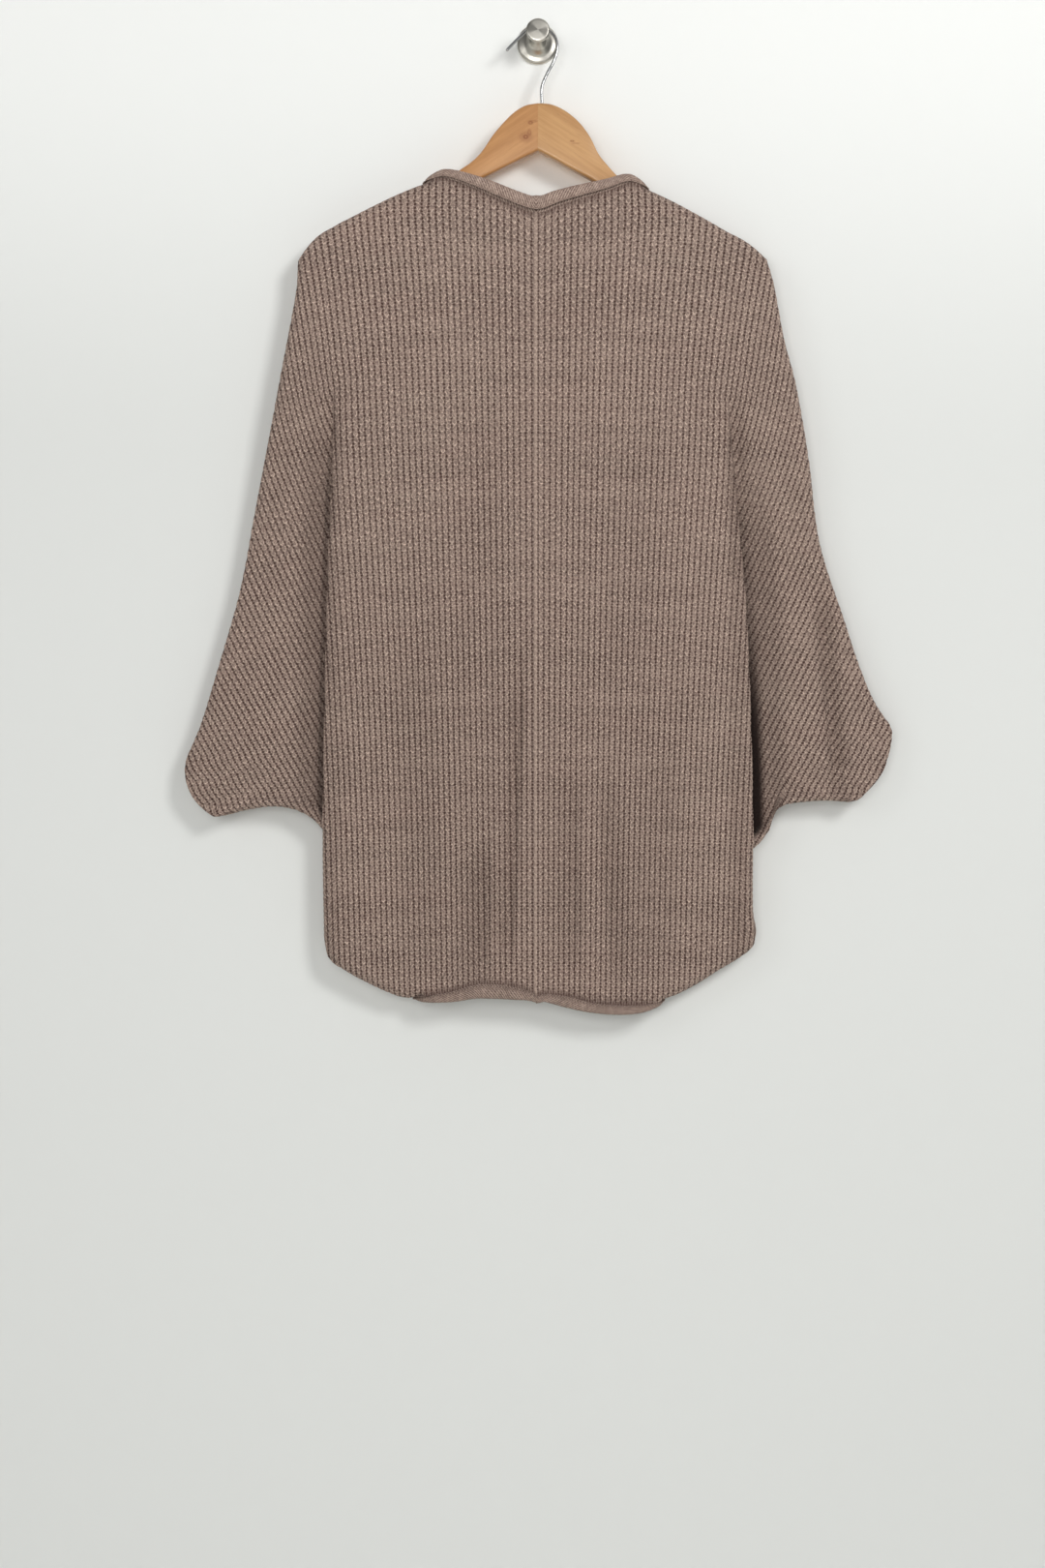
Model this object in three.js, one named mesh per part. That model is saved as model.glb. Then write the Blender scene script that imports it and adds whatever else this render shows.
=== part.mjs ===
// Open batwing cardigan on a wooden hanger, hung with its back to the room.
// Millimetres. +Z is up, the wall is the plane y = 0 and the room lies towards -Y.
// The origin is the middle of the wall plate of the knob that holds it all.
// "out" is a distance from the middle of the garment towards either sleeve, "up" is a height.

import * as THREE from 'three';

// Cloth.
const CLOTH = 2.6;
const SEAM_GAP = 0.3;
const CENTRE_SEAM = -1.8;

// Depths of the outer faces of the two layers, on the hanger and below it.
const BACK_ON_HANGER = -39.3;
const BACK_HANGING = -41;
const FRONT_ON_HANGER = -20.7;
const FRONT_HANGING = -14.5;
const FOLD_PLANE_ON_HANGER = -30;
const FOLD_PLANE_HANGING = -27;
const HANGER_LEVEL = -235;
const HANGING_LEVEL = -400;

// How far in from a fold or side seam the cloth rounds away, and where the grid lines near it lie.
const ROUNDING = 10;
const NEAR_EDGE = [0, 3.5, 10];
const ROW_STEP = 30;

// Lengthways sections through the tuck where the body overhangs the sleeve:
// across the cloth lying flat, and across and deep when it is fully tucked.
const TUCK = [
  { flat: -16, across: -16, deep: 0 },
  { flat: -9, across: -7, deep: 0.5 },
  { flat: -4, across: -1.5, deep: 3 },
  { flat: 0, across: 0, deep: 7 },
  { flat: 3, across: -2.5, deep: 10.5 },
  { flat: 6, across: -6, deep: 13 },
  { flat: 9, across: -2, deep: 15 },
  { flat: 13, across: 6, deep: 13.5 },
  { flat: 18, across: 16, deep: 11 },
];
const TUCK_EDGE = 3;
const SLEEVE_DEEP = 8.5;
const SLEEVE_FLAT_BY = 60;
const UNDERARM_EASE = 22;

// The two halves of the garment. Each row of a table is one section.
const LEFT = {
  name: 'left',
  side: -1,
  neckPoint: 104,
  tuckStarts: -325,
  tuckFull: -450,
  gape: 1,
  top: [
    { out: 0, up: -173.5 },
    { out: 20, up: -167.5 },
    { out: 40, up: -158.5 },
    { out: 60, up: -149.5 },
    { out: 80, up: -141.5 },
    { out: 94, up: -139 },
    { out: 104, up: -142.5 },
    { out: 130, up: -154.5 },
    { out: 160, up: -169.5 },
    { out: 190, up: -184.5 },
  ],
  bottom: [
    { out: 0, up: -918.5 },
    { out: 20, up: -911 },
    { out: 45, up: -907.5 },
    { out: 70, up: -908.5 },
    { out: 90, up: -913 },
    { out: 112, up: -919 },
    { out: 130, up: -916 },
    { out: 160, up: -904 },
    { out: 187, up: -888.5 },
    { out: 199, up: -878.5 },
    { out: 203, up: -862 },
  ],
  tuck: [
    { up: -184, out: 190 },
    { up: -340, out: 194 },
    { up: -520, out: 201.5 },
    { up: -757, out: 205 },
    { up: -857, out: 203.5 },
    { up: -930, out: 202.5 },
  ],
  sleeve: [
    { out: 229, up: -219 },
    { out: 229.5, up: -240 },
    { out: 236.5, up: -275 },
    { out: 242.5, up: -311 },
    { out: 256.5, up: -385 },
    { out: 271, up: -458.5 },
    { out: 285, up: -532 },
    { out: 306, up: -605.5 },
    { out: 322.5, up: -661 },
    { out: 333.5, up: -693 },
    { out: 334, up: -706 },
    { out: 327, up: -727 },
    { out: 312, up: -742.5 },
    { out: 300, up: -745.5 },
  ],
  cuffFrom: 10,
  shoulderLift: 6.5,
  underarm: -759.5,
  underarmLift: 16,
};

const RIGHT = {
  name: 'right',
  side: 1,
  neckPoint: 101,
  tuckStarts: -345,
  tuckFull: -520,
  gape: 1.45,
  top: [
    { out: 0, up: -173.5 },
    { out: 15, up: -166.5 },
    { out: 40, up: -159 },
    { out: 67, up: -151 },
    { out: 84, up: -145 },
    { out: 92, up: -144.5 },
    { out: 101, up: -148.5 },
    { out: 130, up: -164 },
    { out: 162, up: -182.5 },
    { out: 193, up: -201 },
  ],
  bottom: [
    { out: 0, up: -918.5 },
    { out: 20, up: -917 },
    { out: 53, up: -923.5 },
    { out: 94, up: -926.5 },
    { out: 116, up: -925.5 },
    { out: 133, up: -915.5 },
    { out: 153, up: -903 },
    { out: 171, up: -891.5 },
    { out: 193, up: -878 },
    { out: 203, up: -868.5 },
    { out: 206.5, up: -857 },
  ],
  tuck: [
    { up: -190, out: 176 },
    { up: -340, out: 180 },
    { up: -449, out: 191 },
    { up: -523, out: 198 },
    { up: -629, out: 203 },
    { up: -757, out: 206 },
    { up: -835, out: 204 },
    { up: -857, out: 206.5 },
    { up: -930, out: 206 },
  ],
  sleeve: [
    { out: 215.5, up: -219 },
    { out: 222, up: -238 },
    { out: 225, up: -256 },
    { out: 233, up: -293 },
    { out: 244.5, up: -330 },
    { out: 258.5, up: -403 },
    { out: 268.5, up: -486 },
    { out: 290.5, up: -559.5 },
    { out: 304.5, up: -602 },
    { out: 318.5, up: -637.5 },
    { out: 334.5, up: -662 },
    { out: 335.5, up: -674 },
    { out: 331, up: -692 },
    { out: 322, up: -708 },
    { out: 308, up: -723.5 },
    { out: 297, up: -730.5 },
  ],
  cuffFrom: 12,
  shoulderLift: 3.5,
  underarm: -778,
  underarmLift: 24,
};

// Steps in which curves are measured, and fineness of the lines along which the layers meet.
const EDGE_DIVISIONS = 400;
const STEPS = 60;

// Soft troughs in the lower part of the back and in the right sleeve.
const TROUGHS = [
  { x: -50, lean: -15, from: -770, to: -925, wide: 13, deep: 4 },
  { x: -14, lean: -12, from: -650, to: -925, wide: 12, deep: 2.5 },
  { x: 30, lean: 12, from: -660, to: -925, wide: 14, deep: 2.5 },
  { x: 72, lean: 4, from: -720, to: -925, wide: 14, deep: 2 },
  { x: 270, lean: 9, from: -530, to: -650, wide: 14, deep: 3.5 },
];

// The front edges hang a little nearer to the middle than the neck points.
const FRONT_EDGE_BOW = 0.055;
const ABOVE_UNDERARM = 0.8;
const FRONT_EDGE_LINES = [0, 0.1, 0.3, 0.52, 0.72];
const BACK_LINES = [0, 0.1, 0.2, 0.28, 0.34, 0.43];
const BACK_OUTER_LINES = [0.66, 0.77, 0.87];
const NECK_LINES = [-10, -3];
const SLEEVE_LINES = [0.25, 0.5, 0.75];

// Rolled band: its wall and the middle line of its section, away from the cloth and off its face.
const BAND_WALL = 2.1;
const BAND_CORNER_EASE = 1.2;
const BAND_ROLL = [
  { away: 0.4, off: -1.2 },
  { away: 8, off: -1.2 },
  { away: 11.2, off: -0.4 },
  { away: 12.6, off: 2 },
  { away: 10.8, off: 4.4 },
  { away: 7, off: 5 },
  { away: 3, off: 4.2 },
];

// Hanger, hook and knob.
const WOOD_MIDDLE = -30;
const WOOD_THICK = 12;
const WOOD_ROUND = 3.2;
const MITRE = 1;
const ARMS = [
  {
    name: 'left',
    side: -1,
    stations: [
      { out: 0, top: -66.4, under: -111.7 },
      { out: 11, top: -68.3, under: -117 },
      { out: 20, top: -73, under: -121.5 },
      { out: 28, top: -79.8, under: -125.5 },
      { out: 42, top: -95.5, under: -132.5 },
      { out: 54, top: -113, under: -138.5 },
      { out: 64, top: -122.8, under: -143.5 },
      { out: 73, top: -129, under: -148.5 },
      { out: 91, top: -142, under: -159 },
      { out: 104, top: -149.3, under: -166 },
      { out: 130, top: -161, under: -178 },
      { out: 160, top: -176, under: -192 },
      { out: 190, top: -191.3, under: -205.5 },
      { out: 210, top: -204.5, under: -215.5 },
      { out: 216, top: -208.5, under: -214.5 },
    ],
  },
  {
    name: 'right',
    side: 1,
    stations: [
      { out: 0, top: -66.4, under: -111.7 },
      { out: 13, top: -67.6, under: -118.5 },
      { out: 27, top: -74.2, under: -126.5 },
      { out: 40, top: -85.3, under: -133.5 },
      { out: 50, top: -98.9, under: -139 },
      { out: 58, top: -114.9, under: -144 },
      { out: 67, top: -126.2, under: -149.5 },
      { out: 75, top: -135, under: -155 },
      { out: 92, top: -150.5, under: -167 },
      { out: 101, top: -156.5, under: -173 },
      { out: 130, top: -171.7, under: -188 },
      { out: 162, top: -190.2, under: -205.5 },
      { out: 190, top: -207, under: -220 },
      { out: 199, top: -214.5, under: -223.5 },
      { out: 203.5, top: -218, under: -222.5 },
    ],
  },
];

const WIRE = 3;
const WIRE_ROUTE = [
  { x: 3.8, up: -66.1 },
  { x: 3.8, up: -50 },
  { x: 9, up: -37 },
  { x: 14.5, up: -26.7 },
  { x: 18.6, up: -13.5 },
  { x: 16.6, up: -3 },
  { x: 10.2, up: 4 },
  { x: 0, up: 7.3 },
  { x: -9.5, up: 4.4 },
  { x: -16.6, up: -1.6 },
  { x: -22, up: -6.8 },
  { x: -30.4, up: -15.6 },
];

const KNOB = [
  { radius: 19.7, depth: 0 },
  { radius: 19.7, depth: 2.6 },
  { radius: 18.9, depth: 3.6 },
  { radius: 12.5, depth: 5.6 },
  { radius: 8.2, depth: 10 },
  { radius: 6.2, depth: 17 },
  { radius: 5.5, depth: 24 },
  { radius: 5.5, depth: 34 },
  { radius: 7.2, depth: 38.5 },
  { radius: 10.6, depth: 41.4 },
  { radius: 11.25, depth: 42.4 },
  { radius: 11.25, depth: 43.8 },
  { radius: 10.8, depth: 44.3 },
];
const KNOB_FACE = 45.2;

const clamp = (value, low, high) => Math.min(Math.max(value, low), high);
const mix = (a, b, share) => a + (b - a) * share;
const ease = (share) => share * share * (3 - 2 * share);

// Smooth value of one column of a table at a place given by another column.
function column(table, place, key, at) {
  const turn = Math.sign(table[table.length - 1][place] - table[0][place]);
  let i = 0;
  while (i < table.length - 2 && (at - table[i + 1][place]) * turn > 0) i += 1;
  const slope = (k) => {
    const before = table[Math.max(k - 1, 0)];
    const after = table[Math.min(k + 1, table.length - 1)];
    return (after[key] - before[key]) / (after[place] - before[place]);
  };
  const a = table[i];
  const b = table[i + 1];
  const span = b[place] - a[place];
  const t = clamp((at - a[place]) / span, 0, 1);
  const rise = ease(t);
  const bendA = t * (1 - t) * (1 - t) * span * slope(i);
  const bendB = t * t * (1 - t) * span * slope(i + 1);
  return mix(a[key], b[key], rise) + bendA - bendB;
}

// Share of the way from the hanger down to where the cloth hangs free.
const hanging = (up) => ease(clamp((HANGER_LEVEL - up) / (HANGER_LEVEL - HANGING_LEVEL), 0, 1));
const foldPlane = (up) => mix(FOLD_PLANE_ON_HANGER, FOLD_PLANE_HANGING, hanging(up));

function troughDepth(x, up) {
  let depth = 0;
  for (const trough of TROUGHS) {
    const along = clamp((trough.from - up) / (trough.from - trough.to), 0, 1);
    const middle = trough.x + trough.lean * along;
    const share = Math.exp(-(((x - middle) / (trough.wide / 2)) ** 2));
    depth += trough.deep * share * ease(clamp(along * 3, 0, 1)) * (up < trough.to ? 0.6 : 1);
  }
  return depth;
}

// Plan of one half: where its rows and lines lie in the plane of the wall.
function makePlan(half) {
  const seam = CENTRE_SEAM * half.side + SEAM_GAP / 2;
  const tuckAt = (up) => column(half.tuck, 'up', 'out', up);
  const topAt = (out) => column(half.top, 'out', 'up', out);
  const bottomAt = (out) => column(half.bottom, 'out', 'up', out);
  const tuckTop = half.tuck[0].out;
  const tuckBottom = half.bottom[half.bottom.length - 1].out;

  const edgeCurve = new THREE.CatmullRomCurve3(
    half.sleeve.map((row) => new THREE.Vector3(row.out, 0, row.up)), false, 'centripetal');
  edgeCurve.arcLengthDivisions = EDGE_DIVISIONS;
  const edgeLengths = edgeCurve.getLengths();
  const cuffT = half.cuffFrom / (half.sleeve.length - 1);
  const cuffShare = edgeLengths[Math.round(cuffT * EDGE_DIVISIONS)] / edgeLengths[EDGE_DIVISIONS];

  // A point of the body: share across from centre seam to tuck, share down to the underarm, then to the hem.
  function bodyPoint(across, down, below) {
    const top = topAt(mix(seam, tuckTop, across));
    const bottom = bottomAt(mix(seam, tuckBottom, across));
    const up = below > 0 ? mix(half.underarm, bottom, below) : mix(top, half.underarm, down);
    return { out: mix(seam, tuckAt(up), across), up };
  }

  // A point of the sleeve: the row's share down, and how far out from the tuck.
  function sleeveRow(down) {
    const start = bodyPoint(1, down, 0);
    const end = edgeCurve.getPointAt(down);
    const length = end.x - start.out;
    const low = ease(clamp(1 - (1 - down) * 6, 0, 1));
    const high = ease(clamp(1 - down * 6, 0, 1));
    const lift = half.underarmLift * low + half.shoulderLift * high;
    const at = (outward) => {
      const share = clamp(outward / length, 0, 1);
      const rise = lift * Math.sin(Math.PI * share ** 0.75);
      return { out: start.out + outward, up: mix(start.up, end.z, share) + rise };
    };
    return { length, at };
  }

  // The folds and seams in which the two layers meet, as lines of short straight steps.
  const meeting = [];
  const fromNeck = (half.neckPoint - seam) / (tuckTop - seam);
  const upper = [];
  const lower = [];
  for (let i = 0; i <= STEPS; i += 1) upper.push(bodyPoint(mix(fromNeck, 1, i / STEPS), 0, 0));
  for (let i = 0; i <= STEPS; i += 1) upper.push(sleeveRow(0).at((sleeveRow(0).length * i) / STEPS));
  for (let i = 0; i <= STEPS; i += 1) {
    const point = edgeCurve.getPointAt((cuffShare * i) / STEPS);
    upper.push({ out: point.x, up: point.z });
  }
  for (let i = STEPS; i >= 0; i -= 1) lower.push(sleeveRow(1).at((sleeveRow(1).length * i) / STEPS));
  for (let i = 0; i <= STEPS; i += 1) lower.push(bodyPoint(1, 1, Math.max(i / STEPS, 1e-6)));
  for (let i = 0; i <= STEPS; i += 1) lower.push(bodyPoint(mix(1, fromNeck, i / STEPS), 1, 1));
  meeting.push(upper, lower);

  function toMeeting(point) {
    let least = Infinity;
    for (const line of meeting) {
      for (let i = 0; i + 1 < line.length; i += 1) {
        const dx = line[i + 1].out - line[i].out;
        const dz = line[i + 1].up - line[i].up;
        const square = dx * dx + dz * dz;
        if (square < 1e-9) continue;
        const t = clamp(((point.out - line[i].out) * dx + (point.up - line[i].up) * dz) / square, 0, 1);
        least = Math.min(least, Math.hypot(point.out - line[i].out - dx * t, point.up - line[i].up - dz * t));
      }
    }
    return least;
  }

  const tucked = (up, down) => {
    const opened = ease(clamp((half.tuckStarts - up) / (half.tuckStarts - half.tuckFull), 0, 1));
    const closed = clamp(((1 - down) * (half.top[0].up - half.underarm)) / UNDERARM_EASE, 0, 1);
    return opened * ease(closed);
  };
  return { half, seam, fromNeck, cuffShare, bodyPoint, sleeveRow, toMeeting, tucked };
}

// Rows down one half: shares down to the underarm, then shares below it.
function makeRows(half) {
  const upperSpan = half.top[0].up - half.underarm;
  const lowerSpan = half.underarm - half.bottom[0].up;
  const rows = [];
  const inner = Math.round((upperSpan - 2 * ROUNDING) / ROW_STEP);
  for (const near of NEAR_EDGE) rows.push({ down: near / upperSpan, below: 0 });
  for (let i = 1; i < inner; i += 1) {
    rows.push({ down: mix(ROUNDING, upperSpan - ROUNDING, i / inner) / upperSpan, below: 0 });
  }
  for (const near of [...NEAR_EDGE].reverse()) rows.push({ down: 1 - near / upperSpan, below: 0 });
  const tail = Math.round(lowerSpan / ROW_STEP);
  for (let i = 1; i < tail; i += 1) rows.push({ down: 1, below: i / tail });
  for (const near of [...NEAR_EDGE].reverse()) rows.push({ down: 1, below: 1 - near / lowerSpan });
  return rows;
}

// Depth of a point of a layer: its face, rounded away towards the fold plane near a fold or seam.
function layerDepth(plan, point, face) {
  const away = plan.toMeeting(point) / ROUNDING;
  const round = away >= 1 ? 1 : Math.sqrt(Math.max(1 - (1 - away) ** 2, 0));
  const plane = foldPlane(point.up);
  const gap = (SEAM_GAP / 2) * Math.sign(face - FOLD_PLANE_HANGING);
  return mix(plane + gap, face, away < 1e-3 ? 0 : round);
}

// Points of a whole layer as rows of lines. A point is null where the body's rows have no sleeve.
function makeLayer(plan, isBack) {
  const { half } = plan;
  const rows = makeRows(half);
  const grid = [];
  const joined = [];
  for (const { down, below } of rows) {
    const line = [];
    const meets = [];
    const onTop = down === 0;
    const onUnderarm = down === 1 && below === 0;
    const onBottom = below === 1;
    const alongEdge = ABOVE_UNDERARM * down + (1 - ABOVE_UNDERARM) * below;
    const bow = FRONT_EDGE_BOW * Math.sin(Math.PI * alongEdge);
    const edge = plan.fromNeck - bow;
    const bodyLines = [];
    if (isBack) {
      bodyLines.push(...BACK_LINES);
      const tuckTop = half.tuck[0].out;
      for (const near of NECK_LINES) bodyLines.push(plan.fromNeck + near / tuckTop);
      bodyLines.push(plan.fromNeck, ...BACK_OUTER_LINES);
    } else {
      for (const share of FRONT_EDGE_LINES) bodyLines.push(mix(edge, 1, share));
    }

    const place = (point, face, meetsHere) => {
      const gap = (SEAM_GAP / 2) * (isBack ? -1 : 1);
      const depth = meetsHere ? foldPlane(point.up) + gap : layerDepth(plan, point, face);
      line.push(new THREE.Vector3(half.side * point.out, depth, point.up));
      meets.push(meetsHere);
    };
    const face = (point) => {
      const low = hanging(point.up);
      if (!isBack) return mix(FRONT_ON_HANGER, FRONT_HANGING, low);
      return mix(BACK_ON_HANGER, BACK_HANGING, low) + troughDepth(half.side * point.out, point.up);
    };

    for (const share of bodyLines) {
      const point = plan.bodyPoint(share, down, below);
      place(point, face(point), (onTop || onBottom) && share >= plan.fromNeck - 1e-9);
    }

    const tuckPoint = plan.bodyPoint(1, down, below);
    const sleeve = plan.sleeveRow(down);
    const tucked = below > 0 ? 0 : plan.tucked(tuckPoint.up, down);
    TUCK.forEach((section, index) => {
      const inBody = index <= TUCK_EDGE;
      if (below > 0 && !inBody) {
        line.push(null);
        meets.push(false);
        return;
      }
      const widen = section.flat > 10 ? half.gape : 1;
      const across = isBack ? mix(section.flat, section.across * widen, tucked) : section.flat;
      let point = { out: tuckPoint.out + across, up: tuckPoint.up };
      if (inBody) {
        point = plan.bodyPoint(1 + across / tuckPoint.out, down, below);
      } else if (across > 0) {
        point = sleeve.at(across);
      }
      const deep = isBack ? section.deep * tucked : -2 * tucked * Math.exp(-((section.flat / 12) ** 2));
      const atSide = below > 0 && index === TUCK_EDGE;
      const atUnderarm = onUnderarm && index >= TUCK_EDGE;
      place(point, face(point) + deep, onTop || onBottom || atSide || atUnderarm);
    });

    const widest = TUCK[TUCK.length - 1];
    const startFlat = isBack ? mix(widest.flat, widest.across * half.gape, tucked) : widest.flat;
    const outward = SLEEVE_LINES.map((share) => mix(startFlat, sleeve.length - 10, share));
    for (const near of [...NEAR_EDGE].reverse()) outward.push(sleeve.length - near);
    outward.forEach((distance, index) => {
      if (below > 0) {
        line.push(null);
        meets.push(false);
        return;
      }
      const point = sleeve.at(distance);
      const settle = clamp((distance - startFlat) / SLEEVE_FLAT_BY, 0, 1);
      const deep = isBack ? mix(widest.deep, SLEEVE_DEEP, settle) * tucked : 0;
      const atEnd = index === outward.length - 1;
      const onCuff = down > plan.cuffShare + 1e-9;
      place(point, face(point) + deep, onTop || onUnderarm || (atEnd && !onCuff));
    });
    grid.push(line);
    joined.push(meets);
  }
  return { grid, joined, rows, neckColumn: BACK_LINES.length + NECK_LINES.length };
}

// Closes a sheet of points into a wall of cloth, with its rims.
function thicken(layer, flip) {
  const { grid, joined } = layer;
  const height = grid.length;
  const width = grid[0].length;
  const at = (r, c) => (r < 0 || c < 0 || r >= height || c >= width ? null : grid[r][c]);
  const index = new Map();
  const outer = [];
  const normals = [];
  const places = [];
  for (let r = 0; r < height; r += 1) {
    for (let c = 0; c < width; c += 1) {
      if (!grid[r][c]) continue;
      index.set(r * width + c, outer.length);
      outer.push(grid[r][c]);
      normals.push(new THREE.Vector3());
      places.push({ r, c });
    }
  }
  const cells = [];
  for (let r = 0; r + 1 < height; r += 1) {
    for (let c = 0; c + 1 < width; c += 1) {
      const corners = [[r, c], [r, c + 1], [r + 1, c + 1], [r + 1, c]];
      if (corners.some(([a, b]) => !at(a, b))) continue;
      const ids = corners.map(([a, b]) => index.get(a * width + b));
      cells.push(flip ? ids.reverse() : ids);
    }
  }
  const side = new THREE.Vector3();
  const other = new THREE.Vector3();
  const faceNormal = new THREE.Vector3();
  const edges = new Set();
  for (const cell of cells) {
    side.subVectors(outer[cell[2]], outer[cell[0]]);
    other.subVectors(outer[cell[3]], outer[cell[1]]);
    faceNormal.crossVectors(side, other);
    faceNormal.normalize();
    for (const id of cell) normals[id].add(faceNormal);
    cell.forEach((id, i) => edges.add(`${id},${cell[(i + 1) % 4]}`));
  }
  places.forEach(({ r, c }, id) => {
    if (joined[r][c]) normals[id].y = 0;
    if (c === 0 && layer.hasCentreSeam) normals[id].x = 0;
    normals[id].normalize();
  });

  const positions = [];
  for (const point of outer) positions.push(point.x, point.y, point.z);
  outer.forEach((point, id) => {
    const inner = point.clone().addScaledVector(normals[id], -CLOTH);
    positions.push(inner.x, inner.y, inner.z);
  });
  const count = outer.length;
  const faces = [];
  for (const [a, b, c, d] of cells) {
    faces.push(a, b, c, a, c, d);
    faces.push(a + count, c + count, b + count, a + count, d + count, c + count);
  }
  for (const key of edges) {
    const [a, b] = key.split(',').map(Number);
    if (edges.has(`${b},${a}`)) continue;
    faces.push(b, a, a + count, b, a + count, b + count);
  }
  layer.normalAt = (r, c) => normals[index.get(r * width + c)];
  return solid(positions, faces);
}

function solid(positions, faces) {
  const geometry = new THREE.BufferGeometry();
  geometry.setAttribute('position', new THREE.Float32BufferAttribute(positions, 3));
  geometry.setIndex(faces);
  geometry.computeVertexNormals();
  return geometry;
}

// Joins rings of equally many points into a closed body with flat ends.
function loft(rings, flip) {
  const positions = [];
  const faces = [];
  const sides = rings[0].length;
  for (const ring of rings) {
    for (const point of ring) positions.push(point.x, point.y, point.z);
  }
  const triangle = (a, b, c) => (flip ? faces.push(a, c, b) : faces.push(a, b, c));
  for (let r = 0; r + 1 < rings.length; r += 1) {
    for (let i = 0; i < sides; i += 1) {
      const a = r * sides + i;
      const b = r * sides + ((i + 1) % sides);
      triangle(a, b, b + sides);
      triangle(a, b + sides, a + sides);
    }
  }
  return { positions, faces, sides, triangle };
}

// Edge band of one half: follows the free edge of the back, over the neck point,
// down the front and round the bottom back to the centre.
function makeBand(plan, back, front) {
  const { side } = plan.half;
  const path = [];
  const last = back.grid.length - 1;
  const neck = back.neckColumn;
  const add = (layer, r, c) => {
    path.push({ point: layer.grid[r][c].clone(), face: layer.normalAt(r, c).clone() });
  };
  for (let c = 0; c < neck; c += 1) add(back, 0, c);
  for (let r = 0; r < front.grid.length; r += 1) add(front, r, 0);
  for (let c = neck - 1; c >= 0; c -= 1) add(back, last, c);
  path.forEach((step, i) => {
    const before = path[Math.max(i - 1, 0)].point;
    const after = path[Math.min(i + 1, path.length - 1)].point;
    const run = new THREE.Vector3().subVectors(after, before).normalize();
    const away = new THREE.Vector3().crossVectors(run, step.face).multiplyScalar(-side).normalize();
    const face = new THREE.Vector3().crossVectors(away, run).multiplyScalar(-side).normalize();
    if (i === 0 || i === path.length - 1) {
      away.set(0, 0, i === 0 ? 1 : -1);
      face.set(0, -1, 0);
    }
    const corner = Math.min(Math.abs(i - neck), Math.abs(i - (path.length - 1 - neck)));
    if (corner < 3) step.point.addScaledVector(away, BAND_CORNER_EASE / (1 + corner));
    step.away = away;
    step.off = face;
  });

  // The section is a wall rolled back on itself: its middle line, offset to both sides.
  const outline = [];
  const normalOf = (i) => {
    const a = BAND_ROLL[Math.max(i - 1, 0)];
    const b = BAND_ROLL[Math.min(i + 1, BAND_ROLL.length - 1)];
    const length = Math.hypot(b.away - a.away, b.off - a.off);
    return { away: -(b.off - a.off) / length, off: (b.away - a.away) / length };
  };
  const half = BAND_WALL / 2;
  BAND_ROLL.forEach((p, i) => {
    const n = normalOf(i);
    outline.push({ away: p.away - n.away * half, off: p.off - n.off * half });
  });
  for (let i = BAND_ROLL.length - 1; i >= 0; i -= 1) {
    const n = normalOf(i);
    outline.push({ away: BAND_ROLL[i].away + n.away * half, off: BAND_ROLL[i].off + n.off * half });
  }
  const rings = path.map((step) => outline.map((p) => step.point.clone()
    .addScaledVector(step.away, p.away)
    .addScaledVector(step.off, p.off)));
  const { positions, faces, sides, triangle } = loft(rings, side < 0);
  const lastRing = (rings.length - 1) * sides;
  const pairs = BAND_ROLL.length;
  for (let i = 0; i + 1 < pairs; i += 1) {
    const a = i;
    const b = i + 1;
    const c = sides - 2 - i;
    const d = sides - 1 - i;
    triangle(a, c, b);
    triangle(a, d, c);
    triangle(lastRing + a, lastRing + b, lastRing + c);
    triangle(lastRing + a, lastRing + c, lastRing + d);
  }
  return solid(positions, faces);
}

// One wooden arm: rounded sections from the mitre to the tip.
function makeArm(arm) {
  const halfThick = WOOD_THICK / 2;
  const rings = arm.stations.map(({ out, top, under }, index) => {
    const round = Math.min(WOOD_ROUND, (top - under) / 3);
    const x = MITRE + arm.side * (out + (index === 0 ? SEAM_GAP / 2 : 0));
    const narrow = index === arm.stations.length - 1 ? 0.6 : 1;
    const ring = [];
    const corners = [
      { y: halfThick, z: top, turn: 0 },
      { y: -halfThick, z: top, turn: 1 },
      { y: -halfThick, z: under, turn: 2 },
      { y: halfThick, z: under, turn: 3 },
    ];
    for (const corner of corners) {
      const centreY = corner.y - Math.sign(corner.y) * round;
      const centreZ = corner.z + (corner.turn < 2 ? -round : round);
      for (let k = 0; k < 3; k += 1) {
        const angle = (Math.PI / 2) * (corner.turn + k / 2);
        const y = (centreY + round * Math.cos(angle)) * narrow;
        ring.push(new THREE.Vector3(x, WOOD_MIDDLE + y, centreZ + round * Math.sin(angle)));
      }
    }
    return ring;
  });
  const { positions, faces, sides, triangle } = loft(rings, arm.side < 0);
  const lastRing = (rings.length - 1) * sides;
  for (let i = 1; i + 1 < sides; i += 1) {
    triangle(0, i + 1, i);
    triangle(lastRing, lastRing + i, lastRing + i + 1);
  }
  return solid(positions, faces);
}

function makeHook() {
  const route = new THREE.CatmullRomCurve3(
    WIRE_ROUTE.map((row) => new THREE.Vector3(row.x, WOOD_MIDDLE, row.up)), false, 'centripetal');
  const section = new THREE.Shape();
  section.absarc(0, 0, WIRE / 2, 0, Math.PI * 2, false);
  return new THREE.ExtrudeGeometry(section, { steps: 40, curveSegments: 5, extrudePath: route });
}

function makeKnob() {
  const profile = [new THREE.Vector2(0, 0)];
  for (const { radius, depth } of KNOB) profile.push(new THREE.Vector2(radius, depth));
  profile.push(new THREE.Vector2(0, KNOB_FACE));
  const geometry = new THREE.LatheGeometry(profile, 32);
  geometry.rotateX(Math.PI);
  return geometry;
}

const cardigan = new THREE.Group();

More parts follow.
